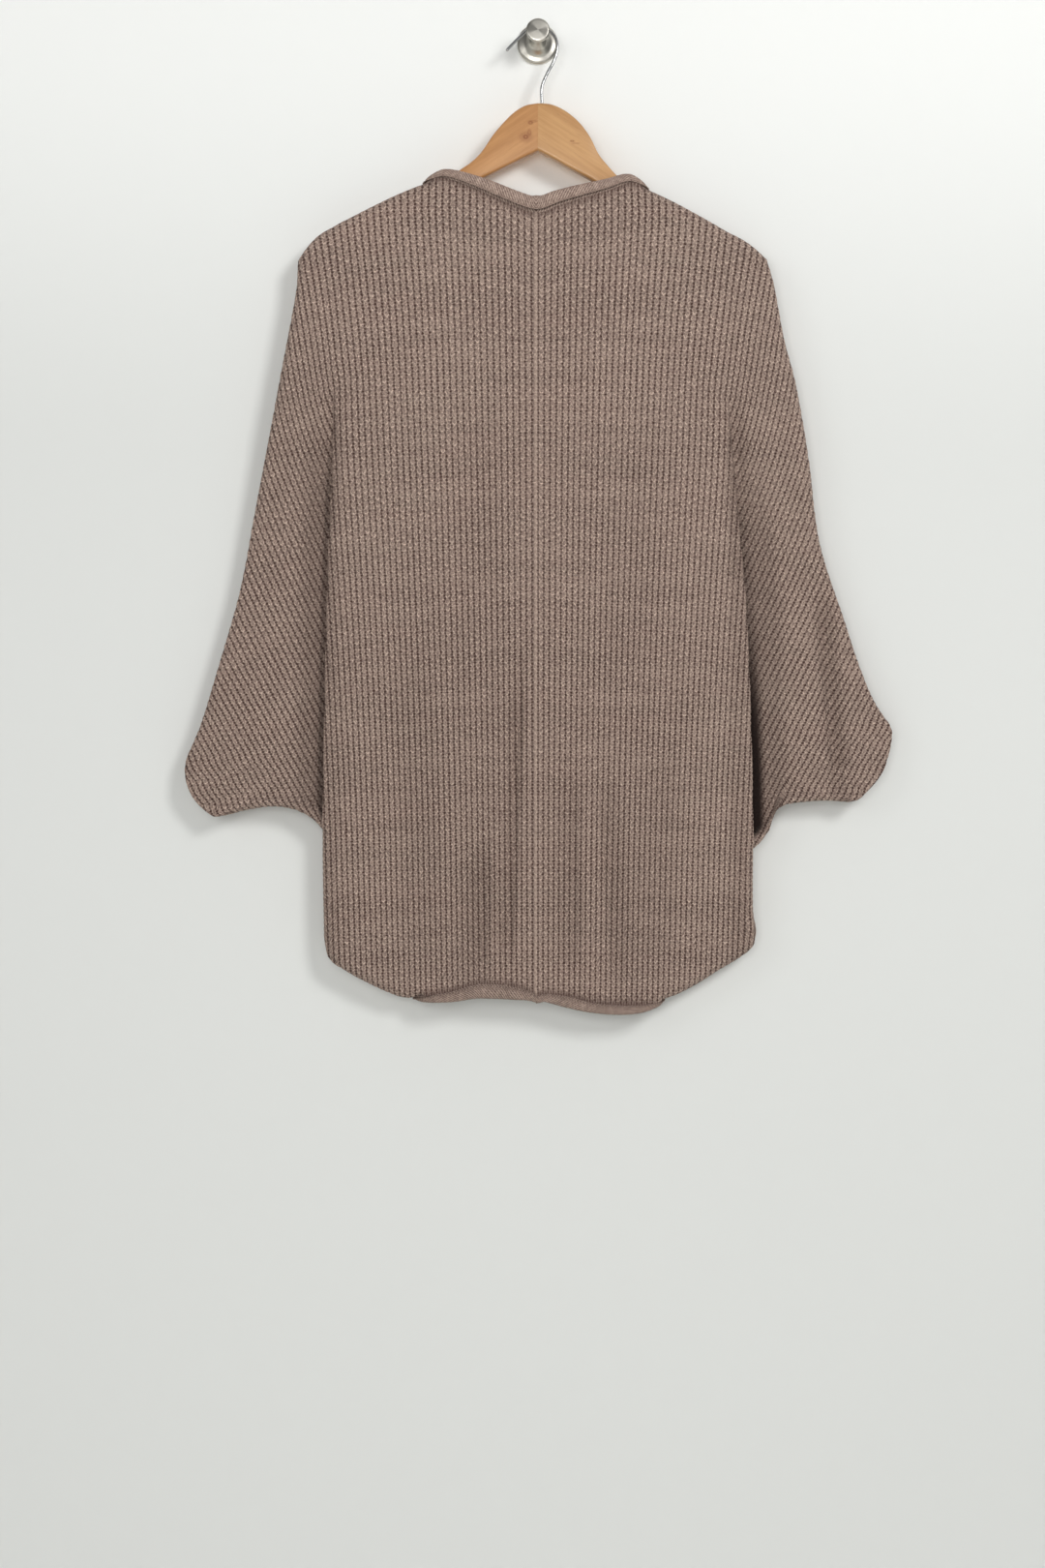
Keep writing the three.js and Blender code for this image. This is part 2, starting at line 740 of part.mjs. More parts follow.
function add(name, geometry, colour, roughness, metalness) {
  const material = new THREE.MeshStandardMaterial({ color: colour, roughness, metalness });
  const mesh = new THREE.Mesh(geometry, material);
  mesh.name = name;
  cardigan.add(mesh);
}

const KNIT_COLOUR = 0x8d7a6f;
const BAND_COLOUR = 0x978378;
const WOOD_COLOUR = 0xcb9a68;
const STEEL_COLOUR = 0xb9b7b1;

for (const half of [LEFT, RIGHT]) {
  const plan = makePlan(half);
  const back = makeLayer(plan, true);
  back.hasCentreSeam = true;
  const front = makeLayer(plan, false);
  add(`back_and_sleeve_${half.name}`, thicken(back, half.side > 0), KNIT_COLOUR, 0.95, 0);
  add(`front_and_sleeve_${half.name}`, thicken(front, half.side < 0), KNIT_COLOUR, 0.95, 0);
  add(`edge_band_${half.name}`, makeBand(plan, back, front), BAND_COLOUR, 0.95, 0);
}
for (const arm of ARMS) add(`hanger_${arm.name}`, makeArm(arm), WOOD_COLOUR, 0.45, 0);
add('hook', makeHook(), STEEL_COLOUR, 0.25, 1);
add('wall_knob', makeKnob(), STEEL_COLOUR, 0.35, 1);

export default cardigan;
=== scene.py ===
"""Open batwing cardigan in chunky marled knit, hung back outwards on a wooden hanger on a steel knob.

The frame is in metres: +Z is up, the wall is the plane y = 0 and the room lies towards -Y. Tables and
lengths in this file are in millimetres, and become metres when a mesh is made. "out" is a distance from
the middle of the garment towards either sleeve, and "up" is a height.
"""

import math

import bpy
import numpy as np
from bpy.props import FloatProperty, FloatVectorProperty, PointerProperty
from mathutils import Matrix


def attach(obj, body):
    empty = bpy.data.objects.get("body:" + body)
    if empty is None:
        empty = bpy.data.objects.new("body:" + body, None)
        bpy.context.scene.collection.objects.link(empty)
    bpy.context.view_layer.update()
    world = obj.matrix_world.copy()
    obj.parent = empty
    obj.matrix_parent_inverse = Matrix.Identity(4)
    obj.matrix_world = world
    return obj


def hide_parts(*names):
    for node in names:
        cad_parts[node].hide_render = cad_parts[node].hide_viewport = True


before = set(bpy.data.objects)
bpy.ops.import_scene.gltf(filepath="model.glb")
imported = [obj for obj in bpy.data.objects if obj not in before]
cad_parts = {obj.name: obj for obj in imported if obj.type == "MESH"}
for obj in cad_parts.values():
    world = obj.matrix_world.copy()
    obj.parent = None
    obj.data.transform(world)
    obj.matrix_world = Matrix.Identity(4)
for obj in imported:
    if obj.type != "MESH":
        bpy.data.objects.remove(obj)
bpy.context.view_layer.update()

bl_info = {
    "name": "Long cardigan on a hanger",
    "version": (1, 0, 0),
    "blender": (4, 5, 0),
    "location": "3D View > Sidebar > Cardigan",
    "description": "Makes a hanging batwing cardigan, its hanger and the knob that holds them",
    "category": "Add Mesh",
}

MM = 0.001

# ---------------------------------------------------------------------------------------------------
# Sizes of the garment: the part's, its outline let out by up to 5 mm to the outermost loops
# ---------------------------------------------------------------------------------------------------

CENTRE_SEAM = -1.8

# Depths of the outer faces of the two layers and of the plane where they meet, on the hanger and below it.
BACK_ON_HANGER = -39.3
BACK_HANGING = -41.0
FRONT_ON_HANGER = -20.7
FRONT_HANGING = -14.5
FOLD_PLANE_ON_HANGER = -30.0
FOLD_PLANE_HANGING = -27.0
HANGER_LEVEL = -235.0
HANGING_LEVEL = -400.0

# How far in from a fold or side seam the cloth rounds away, and how many lines of the mesh lie there.
ROUNDING = 10.0
ROUNDING_LINES = 9

# Sections through the tuck where the body overhangs the sleeve: flat, then across and deep when tucked.
TUCK_FLAT = [(0, -16), (1, -9), (2, -4), (3, 0), (4, 3), (5, 6), (6, 9), (7, 13), (8, 18)]
TUCK_ACROSS = [(0, -16), (1, -7), (2, -1.5), (3, 0), (4, -2.5), (5, -6), (6, -2), (7, 6), (8, 16)]
TUCK_DEEP = [(0, 0), (1, 0.6), (2, 3.4), (3, 7.6), (4, 11.5), (5, 14.5), (6, 17), (7, 16), (8, 13)]

# The section at the side of the body, the one where the sleeve opens away, the last one, and how many
# lines of the mesh run up to the side and on into the sleeve.
TUCK_EDGE = 3
TUCK_GAPES = 6
TUCK_ENDS = 8
TUCK_EDGE_LINES = 9
TUCK_SLEEVE_LINES = 16

# Sleeve behind the tuck: how deep it lies, how soon it gets there, how wide the fold's painted shade
# reaches over it, and how far above the underarm the tuck eases out.
SLEEVE_DEEP = 9.0
SLEEVE_FLAT_BY = 50.0
UNDER_FOLD_WIDE = 11
UNDERARM_EASE = 22.0

# Painted shade in the dark slit where the sleeve hangs behind the side of the body: how far out it is deep
# and fades, and the heights at which it starts, grows and ends.
SLIT_WIDE = 2.0
SLIT_FADE = 13
SLIT_TOP = -500
SLIT_GROWS = 230
SLIT_BOTTOM = -772
SLIT_ENDS = 14

# Front edges: how far they bow towards the middle, as a share of the half, and where they do so most.
FRONT_EDGE_BOW = 0.055
ABOVE_UNDERARM = 0.8

LEFT = {
    "name": "left",
    "side": -1,
    "neck_point": 104,
    "tuck_starts": -325,
    "tuck_full": -450,
    "gape": 1.0,
    "top": [
        (0, -172.5), (8, -171.3), (20, -167), (40, -158.5), (60, -149.5), (80, -141.5), (94, -138.5),
        (104, -141), (130, -151), (160, -165.3), (190, -180.5),
    ],
    "bottom": [
        (0, -918), (5, -914.5), (21, -909.2), (42, -906.4), (61, -907.4), (82, -913.4), (104, -917.4),
        (114, -919.2), (124, -920.6), (134, -919), (160, -908), (187, -893), (200, -882), (204.5, -864),
    ],
    "tuck": [(-184, 190), (-340, 194), (-520, 201.5), (-757, 206), (-857, 205), (-930, 204)],
    "sleeve": [
        (229.5, -216.5), (230.5, -240), (236.5, -275), (243.5, -311), (257.5, -385), (271.5, -458.5),
        (285.5, -532), (306.5, -605.5), (323.5, -661), (336.5, -693), (337.5, -707), (330, -728.5),
        (314, -744), (300, -746.5),
    ],
    "neck_band": [(0, 1.2), (10, 1.1), (22, 1.06), (50, 0.98), (70, 0.82), (87, 0.66), (104, 0.4)],
    "hem_band": [(0, 0.5), (21, 0.93), (50, 1.04), (70, 0.9), (82, 0.76), (104, 0.52), (112, 0.38)],
    "over_neck": 7,
    "over_hem": 17,
    "column_width": 1.0,
    "sleeve_lean": [(-260, 16), (-430, 22), (-540, 26), (-700, 29)],
    "cuff_from": 10,
    "shoulder_lift": 6.5,
    "underarm": -759.5,
    "underarm_lift": [
        (0, 0), (0.1, 8.5), (0.2, 12.9), (0.3, 15.3), (0.4, 16), (0.5, 15.3), (0.6, 13.5),
        (0.8, 7.4), (1, 0),
    ],
    # How much deeper the painted shade in the underarm slit is drawn.
    "slit": 0.7,
}

RIGHT = {
    "name": "right",
    "side": 1,
    "neck_point": 101,
    "tuck_starts": -345,
    "tuck_full": -520,
    "gape": 1.45,
    "top": [
        (0, -172.5), (8, -170.5), (18, -166), (40, -159), (67, -151), (84, -144.5), (92, -143.5),
        (101, -146.5), (130, -160), (162, -177.5), (193, -196),
    ],
    "bottom": [
        (0, -918), (5, -915.6), (28, -918.2), (53, -924.4), (77, -926.4), (94, -926.6), (107, -925.6),
        (115, -923.6), (124, -920.8), (134, -917), (153, -907), (171, -895.5), (194, -881.5),
        (205, -871.5), (209, -859),
    ],
    "tuck": [
        (-190, 176), (-340, 180), (-449, 191), (-523, 198), (-629, 203), (-757, 206),
        (-835, 206), (-857, 209), (-930, 208.5),
    ],
    "sleeve": [
        (219, -215.5), (225, -236), (229, -256), (236, -293), (246, -330), (259, -403),
        (270, -486), (293.5, -559.5), (307.5, -602), (322, -637), (337.5, -662),
        (338.5, -674), (334, -694), (325, -711.5), (310, -727), (298, -733.5),
    ],
    "neck_band": [(0, 1.2), (10, 1.1), (22, 1.06), (50, 0.92), (70, 0.8), (87, 0.66), (101, 0.42)],
    "hem_band": [(0, 0.5), (28, 0.8), (56, 0.7), (77, 0.7), (98, 0.57), (112, 0.32)],
    "over_neck": 6,
    "over_hem": 21,
    "column_width": 0.98,
    "sleeve_lean": [(-260, 15), (-430, 21), (-540, 26), (-700, 28)],
    "cuff_from": 12,
    "shoulder_lift": 3.5,
    "underarm": -778,
    "underarm_lift": [
        (0, 0), (0.08, 3), (0.16, 10), (0.2, 18), (0.24, 25), (0.3, 27), (0.38, 26),
        (0.57, 19.6), (0.76, 12), (1, 0),
    ],
    # How much deeper the painted shade in the underarm slit is drawn.
    "slit": 3.2,
}

# Troughs and ridges down the back: start, lean, its two ends, width of its two flanks, and depth.
BACK_FOLDS = [
    (-50, -7, -745, -930, (30, 11), 7),
    (-15, -13, -560, -870, (13, 7), 6.8),
    (31, 2, -660, -925, (24, 12), 6),
    (60, 18, -690, -925, (9, 22), 5.2),
    (268, 18, -510, -700, (12, 15), 8.5),
    (186, 6, -322, -520, (13, 16), 8),
    (-195, -5, -310, -470, (12, 13), 5),
    (122, -8, -640, -880, (34, 30), 3.4),
    (-120, 8, -540, -860, (34, 34), 3.4),
    (-58, 10, -300, -560, (44, 40), 2.0),
    (96, -16, -330, -600, (44, 40), 2.2),
]
FOLDS_FADE_FROM = -872
FOLDS_FADE_BY = 34
FOLDS_AT_HEM = 0.3

# Where folds draw the rows aslant: start across, lean, top, bottom, half width, and how far they pull.
ROW_PULLS = [
    (-59, -7, -735, -925, 12, 0.8),
    (66, 3, -690, -925, 9, 0.9),
    (-150, 12, -480, -700, 30, 0.12),
]

# Lip turned in at each cuff: how far in from the edge, and how far under the face.
CUFF_LIP = [(0.3, 1.4), (2.0, 2.2), (7.0, 2.3), (14.0, 2.3)]

# Rolled band: middle line of its section, away from the cloth and off its face.
BAND_WALL = 2.1
BAND_ROLL = [(-2.4, -1.5), (3, -1.3), (8, -1.2), (11.2, -0.4), (12.6, 2), (10.8, 4.4), (7, 5), (3, 4.2)]
BAND_ROUND_CORNER = 14.0
BAND_FRONT_WIDTH = 0.92
BAND_CORNER_WIDTH = 0.34
BAND_CORNER_THICK = 0.36
BAND_STRAND = 2.9
BAND_ROW = 2.3
BAND_SIDES = 40
BAND_STEP = 1.15
BAND_STATION_STEP = 1.5

# Hanger, hook and knob.
WOOD_MIDDLE = -30.0
WOOD_THICK = 12.0
WOOD_ROUND = 3.2
WOOD_TIP = 5
MITRE = 0.0
MITRE_GLUE = 0.02
ARMS = {
    "left": (-1, [
        (0, -66.4, -111.7), (11, -68.3, -117), (20, -73, -121.5), (28, -79.8, -125.5),
        (42, -95.5, -132.5), (54, -113, -138.5), (64, -122.8, -143.5), (73, -129, -148.5),
        (91, -142, -159), (104, -149.3, -166), (130, -161, -178), (160, -176, -192),
        (190, -191.3, -205.5), (210, -204.5, -215.5), (216, -208.5, -214.5),
    ]),
    "right": (1, [
        (0, -66.4, -111.7), (13, -67.6, -118.5), (27, -74.2, -126.5), (40, -85.3, -133.5),
        (50, -98.9, -139), (58, -114.9, -144), (67, -126.2, -149.5), (75, -135, -155),
        (92, -150.5, -167), (101, -156.5, -173), (130, -171.7, -188), (162, -190.2, -205.5),
        (190, -207, -220), (199, -214.5, -223.5), (203.5, -218, -222.5),
    ]),
}
KNOTS = {
    "left": [
        (-7, -85.8, 1.9, 1.4, 0.6), (-4.5, -84.4, 3.4, 1.0, 0.35), (-11.6, -99.3, 2.0, 1.6, 0.9),
        (-11.6, -99.3, 5.2, 4.0, 0.34), (-8.2, -95.2, 1.6, 2.6, 0.45),
    ],
    "right": [(32.7, -103.3, 1.6, 0.7, 0.65), (36, -105.4, 3.2, 0.5, 0.35)],
}
WIRE = 3.0
WIRE_ROUTE = [
    (3.8, -66.1), (3.8, -50), (9, -37), (14.5, -26.7), (18.6, -13.5), (16.6, -3),
    (10.2, 4), (0, 7.3), (-9.5, 4.4), (-16.6, -1.6), (-22, -6.8), (-30.4, -15.6),
]
KNOB = [
    (19.7, 0), (19.7, 2.6), (18.9, 3.6), (12.5, 5.6), (8.2, 10), (6.2, 17), (5.5, 24), (5.5, 34),
    (7.2, 38.5), (10.6, 41.4), (11.25, 42.4), (11.25, 43.8), (10.8, 44.3),
]
KNOB_FACE = 45.2

# Knit: width of a column of stitches, height of a stitch, and width of the strip along the back seam.
COLUMN = 5.5
STITCH = 6.1
SEAM_STRIP = 2.4

# Loops in relief: half the width and half the height of each dome, how much of their depth shows where the
# knit lies closed, where it is pulled open and at a fold, and how soon it is whole away from the fold.
DOME_WIDE = 2.9
DOME_TALL = 3.4
RELIEF_CLOSED = 0.75
RELIEF_OPEN = 0.5
RELIEF_AT_FOLD = 0.6
RELIEF_WHOLE = 7

# Shoulder where the weight pulls the knit open: from how far out, over what width, and how far down.
OPEN_FROM = 60
OPEN_OVER = 90
OPEN_DOWN = 130

# Gathers by the band: how far they reach from it, and how soon they end past the neck point.
GATHER_REACH = 5
GATHER_ENDS = 14

# Meshes of the layers: height of a row, and lines across the body and the sleeve.
BACK_MESH = (1.6, 118, 56)
FRONT_MESH = (1.75, 52, 36)

# How much wider the columns and taller the stitches hang, by height: in the body, and in the sleeves.
BODY_WIDER = [(-180, 1.14), (-330, 1.11), (-430, 1.08), (-560, 0.99), (-930, 0.92)]
BODY_TALLER = [(-180, 1.09), (-330, 1.08), (-430, 1.06), (-560, 0.98), (-930, 0.95)]
SLEEVE_WIDER = [(-220, 1.1), (-274, 1.0), (-430, 1.0), (-540, 1.05), (-640, 1.02), (-740, 0.95)]
SLEEVE_TALLER = [(-220, 1.04), (-430, 1.0), (-640, 0.86), (-740, 0.84)]

# Colours that don't come from the settings, among them painted shade for the holes, folds, underarm slit and
# band gaps, and how strongly painted shade in the holes and folds darkens the yarn.
BLACK = (0.0, 0.0, 0.0)
HOLE_SHADE_COLOUR = (0.066, 0.031, 0.024)
FOLD_SHADE_COLOUR = (0.045, 0.026, 0.021)
SLIT_SHADE_COLOUR = (0.010, 0.005, 0.004)
BAND_GAP_SHADE_COLOUR = (0.085, 0.045, 0.036)
DARK_GRAIN = (0.74, 0.66, 0.56)
GRAIN_SLOPE = 33
HOLE_SHADE_STRENGTH = 0.95
FOLD_SHADE = 0.9
FOLD_SHADE_DEEP = 9

# Stage in millimetres, camera and lights in metres.
STAGE_WIDE = 6000
WALL_TOP = 4000
FLOOR_LEVEL = -1900
FLOOR_FRONT = -7000
FLOOR_BACK = 5000
CAMERA_PLACE = (-0.0147, -2.240, -0.716)
SENSOR = 36.0
ROOM_COLOUR = (0.985, 0.99, 1.0, 1.0)
ROOM_LIGHT = 0.28

# Each light's name, place, size, share of the main power, and the point it faces.
LIGHTS = [
    ("right_light", (1.35, -2.4, 0.5), 0.7, 1.0, (0.0, 0.0, -0.45)),
    ("left_light", (-1.8, -2.2, 0.2), 1.2, 0.22, (0.0, 0.0, -0.3)),
    ("front_light", (-0.3, -2.8, -0.5), 1.0, 0.7, (0.0, 0.0, -0.5)),
    ("back_light", (0.6, 2.6, 0.9), 2.2, 1.0, (0.0, 0.0, -0.5)),
]


def mix(a, b, share):
    """Value a share of the way from a to b."""
    return a + (b - a) * share


def ease(share):
    """Smooth step from 0 to 1."""
    share = np.clip(share, 0.0, 1.0)
    return share * share * (3 - 2 * share)


def column(table, at):
    """Smooth value of a two-column table at a place in its first column."""
    places = np.array([row[0] for row in table], float)
    values = np.array([row[1] for row in table], float)
    at = np.asarray(at, float)
    turn = 1.0 if places[-1] > places[0] else -1.0
    i = np.clip(np.searchsorted(places * turn, at * turn) - 1, 0, len(places) - 2)
    count = np.arange(len(places))
    before = np.maximum(count - 1, 0)
    after = np.minimum(count + 1, len(places) - 1)
    slope = (values[after] - values[before]) / (places[after] - places[before])
    span = places[i + 1] - places[i]
    t = np.clip((at - places[i]) / span, 0, 1)
    bend_a = t * (1 - t) * (1 - t) * span * slope[i]
    bend_b = t * t * (1 - t) * span * slope[i + 1]
    return mix(values[i], values[i + 1], ease(t)) + bend_a - bend_b


def smooth_line(points, divisions):
    """Centripetal spline through points in the plane, as many short steps, with its length so far."""
    points = np.array(points, float)
    ends = np.vstack([2 * points[0] - points[1], points, 2 * points[-1] - points[-2]])
    place = np.linspace(0, len(points) - 1, divisions + 1)
    i = np.minimum(place.astype(int), len(points) - 2)
    t = (place - i)[:, None]
    a, b, c, d = ends[i], ends[i + 1], ends[i + 2], ends[i + 3]
    before = np.sqrt(np.linalg.norm(b - a, axis=1))[:, None]
    here = np.sqrt(np.linalg.norm(c - b, axis=1))[:, None]
    after = np.sqrt(np.linalg.norm(d - c, axis=1))[:, None]
    start = ((b - a) / before - (c - a) / (before + here) + (c - b) / here) * here
    finish = ((c - b) / here - (d - b) / (here + after) + (d - c) / after) * here
    line = b + start * t + (-3 * b + 3 * c - 2 * start - finish) * t ** 2
    line = line + (2 * b - 2 * c + start + finish) * t ** 3
    steps = np.linalg.norm(np.diff(line, axis=0), axis=1)
    return line, np.concatenate([[0], np.cumsum(steps)])


def hanging(up):
    """Share of the way from the hanger down to where the cloth hangs free."""
    return ease((HANGER_LEVEL - up) / (HANGER_LEVEL - HANGING_LEVEL))


def fold_plane(up):
    """Depth of the plane in which the two layers meet."""
    return mix(FOLD_PLANE_ON_HANGER, FOLD_PLANE_HANGING, hanging(up))


def pulled_rows(fabric, x, up):
    """Fabric coordinates with the rows drawn aslant where the cloth is pulled into a fold."""
    pulled = fabric.copy()
    for start, lean, top, bottom, wide, pull in ROW_PULLS:
        along = (top - up) / (top - bottom)
        beside = x - start - lean * along
        local = beside * np.exp(-((beside / wide) ** 2))
        pulled[..., 1] += pull * local * ease(along * 4) * ease((1 - along) * 4)
    return pulled


def fold_depth(folds, x, up):
    """How far the folds in a table sink the cloth at a place."""
    depth = np.zeros(np.broadcast(x, up).shape)
    for start, lean, top, bottom, wide, deep in folds:
        along = np.clip((top - up) / (top - bottom), 0, 1)
        beside = x - start - lean * along
        share = np.exp(-((beside / np.where(beside < 0, wide[0], wide[1]) * 1.6) ** 2))
        depth += deep * share * ease(along * 3) * np.where(up < bottom, 0.6, 1)
    return depth * mix(1, FOLDS_AT_HEM, ease((FOLDS_FADE_FROM - up) / FOLDS_FADE_BY))


class Half:
    """Plan of one half of the garment: where its rows and lines lie in the plane of the wall."""

    EDGE_STEPS = 1200

    def __init__(self, sizes):
        self.sizes = sizes
        self.side = sizes["side"]
        self.seam = CENTRE_SEAM * self.side
        self.tuck_top = sizes["tuck"][0][1]
        self.tuck_bottom = sizes["bottom"][-1][0]
        self.from_neck = (sizes["neck_point"] - self.seam) / (self.tuck_top - self.seam)
        line, lengths = smooth_line(sizes["sleeve"], self.EDGE_STEPS)
        self.edge_line = line
        self.edge_share = lengths / lengths[-1]
        at_cuff = round(sizes["cuff_from"] / (len(sizes["sleeve"]) - 1) * self.EDGE_STEPS)
        self.cuff_share = self.edge_share[at_cuff]
        self.upper_span = sizes["top"][0][1] - sizes["underarm"]
        self.lower_span = sizes["underarm"] - sizes["bottom"][0][1]
        self.meeting = self.meeting_lines()

    def tuck_at(self, up):
        """How far out the side of the body lies at a height."""
        return column(self.sizes["tuck"], up)

    def body(self, across, down, below):
        """Point of the body: share across from seam to tuck, down to the underarm, then to the hem."""
        top = column(self.sizes["top"], mix(self.seam, self.tuck_top, across))
        bottom = column(self.sizes["bottom"], mix(self.seam, self.tuck_bottom, across))
        underarm = self.sizes["underarm"]
        up = np.where(below > 0, mix(underarm, bottom, below), mix(top, underarm, down))
        return mix(self.seam, self.tuck_at(up), across), up

    def sleeve_length(self, down):
        """How far out from the tuck the sleeve reaches along a row."""
        start, _ = self.body(1.0, down, 0.0)
        return np.interp(down, self.edge_share, self.edge_line[:, 0]) - start

    def sleeve(self, down, outward):
        """Point of the sleeve: the row's share down, and how far out from the tuck."""
        start_out, start_up = self.body(1.0, down, 0.0)
        end_out = np.interp(down, self.edge_share, self.edge_line[:, 0])
        end_up = np.interp(down, self.edge_share, self.edge_line[:, 1])
        low = ease(1 - (1 - down) * 6)
        high = ease(1 - down * 6)
        share = np.clip(outward / (end_out - start_out), 0, 1)
        rise = column(self.sizes["underarm_lift"], share) * low
        rise = rise + self.sizes["shoulder_lift"] * high * np.sin(np.pi * share ** 1.25)
        return start_out + outward, mix(start_up, end_up, share) + rise

    def meeting_lines(self):
        """The folds and seams in which the two layers meet, as lines of short straight steps."""
        steps = np.linspace(0, 1, 61)
        zero = np.zeros_like(steps)
        one = np.ones_like(steps)
        top = self.body(mix(self.from_neck, 1, steps), zero, zero)
        shoulder = self.sleeve(zero, self.sleeve_length(zero) * steps)
        cuff = steps * self.cuff_share
        outer = (np.interp(cuff, self.edge_share, self.edge_line[:, 0]),
                 np.interp(cuff, self.edge_share, self.edge_line[:, 1]))
        under = self.sleeve(one, self.sleeve_length(one) * (1 - steps))
        side = self.body(one, one, np.maximum(steps, 1e-6))
        hem = self.body(mix(1, self.from_neck, steps), one, one)
        return [
            np.vstack([np.column_stack(part) for part in (top, shoulder, outer)]),
            np.vstack([np.column_stack(part) for part in (under, side, hem)]),
        ]

    def to_meeting(self, out, up):
        """Distance of every point to the nearest joined fold or seam."""
        least = np.full(out.shape, np.inf)
        for line in self.meeting:
            for (ax, az), (bx, bz) in zip(line[:-1], line[1:]):
                dx = bx - ax
                dz = bz - az
                square = dx * dx + dz * dz
                if square < 1e-9:
                    continue
                near = (np.abs(out - ax) < 30) & (np.abs(up - az) < 30)
                if not near.any():
                    continue
                px = out[near] - ax
                pz = up[near] - az
                t = np.clip((px * dx + pz * dz) / square, 0, 1)
                far = np.hypot(px - dx * t, pz - dz * t)
                least[near] = np.minimum(least[near], far)
        return least

    def tucked(self, up, down):
        """How far the cloth is tucked in beside the body, from 0 for flat to 1."""
        sizes = self.sizes
        opened = ease((sizes["tuck_starts"] - up) / (sizes["tuck_starts"] - sizes["tuck_full"]))
        closed = (1 - down) * self.upper_span / UNDERARM_EASE
        return opened * ease(closed)

    def rows(self, step):
        """Shares down to the underarm and below it, closer together where the cloth rounds away."""
        near = ROUNDING * (1 - np.cos(np.linspace(0, math.pi / 2, ROUNDING_LINES)))
        inner = np.arange(1, round((self.upper_span - 2 * ROUNDING) / step))
        inner = ROUNDING + inner * (self.upper_span - 2 * ROUNDING) / (len(inner) + 1)
        down = np.concatenate([near, inner, self.upper_span - near[::-1]]) / self.upper_span
        tail = np.arange(1, round((self.lower_span - ROUNDING) / step))
        tail = tail * (self.lower_span - ROUNDING) / (len(tail) + 1)
        below = np.concatenate([tail, self.lower_span - near[::-1]]) / self.lower_span
        down_all = np.concatenate([down, np.ones(len(below))])
        below_all = np.concatenate([np.zeros(len(down)), below])
        return down_all, below_all


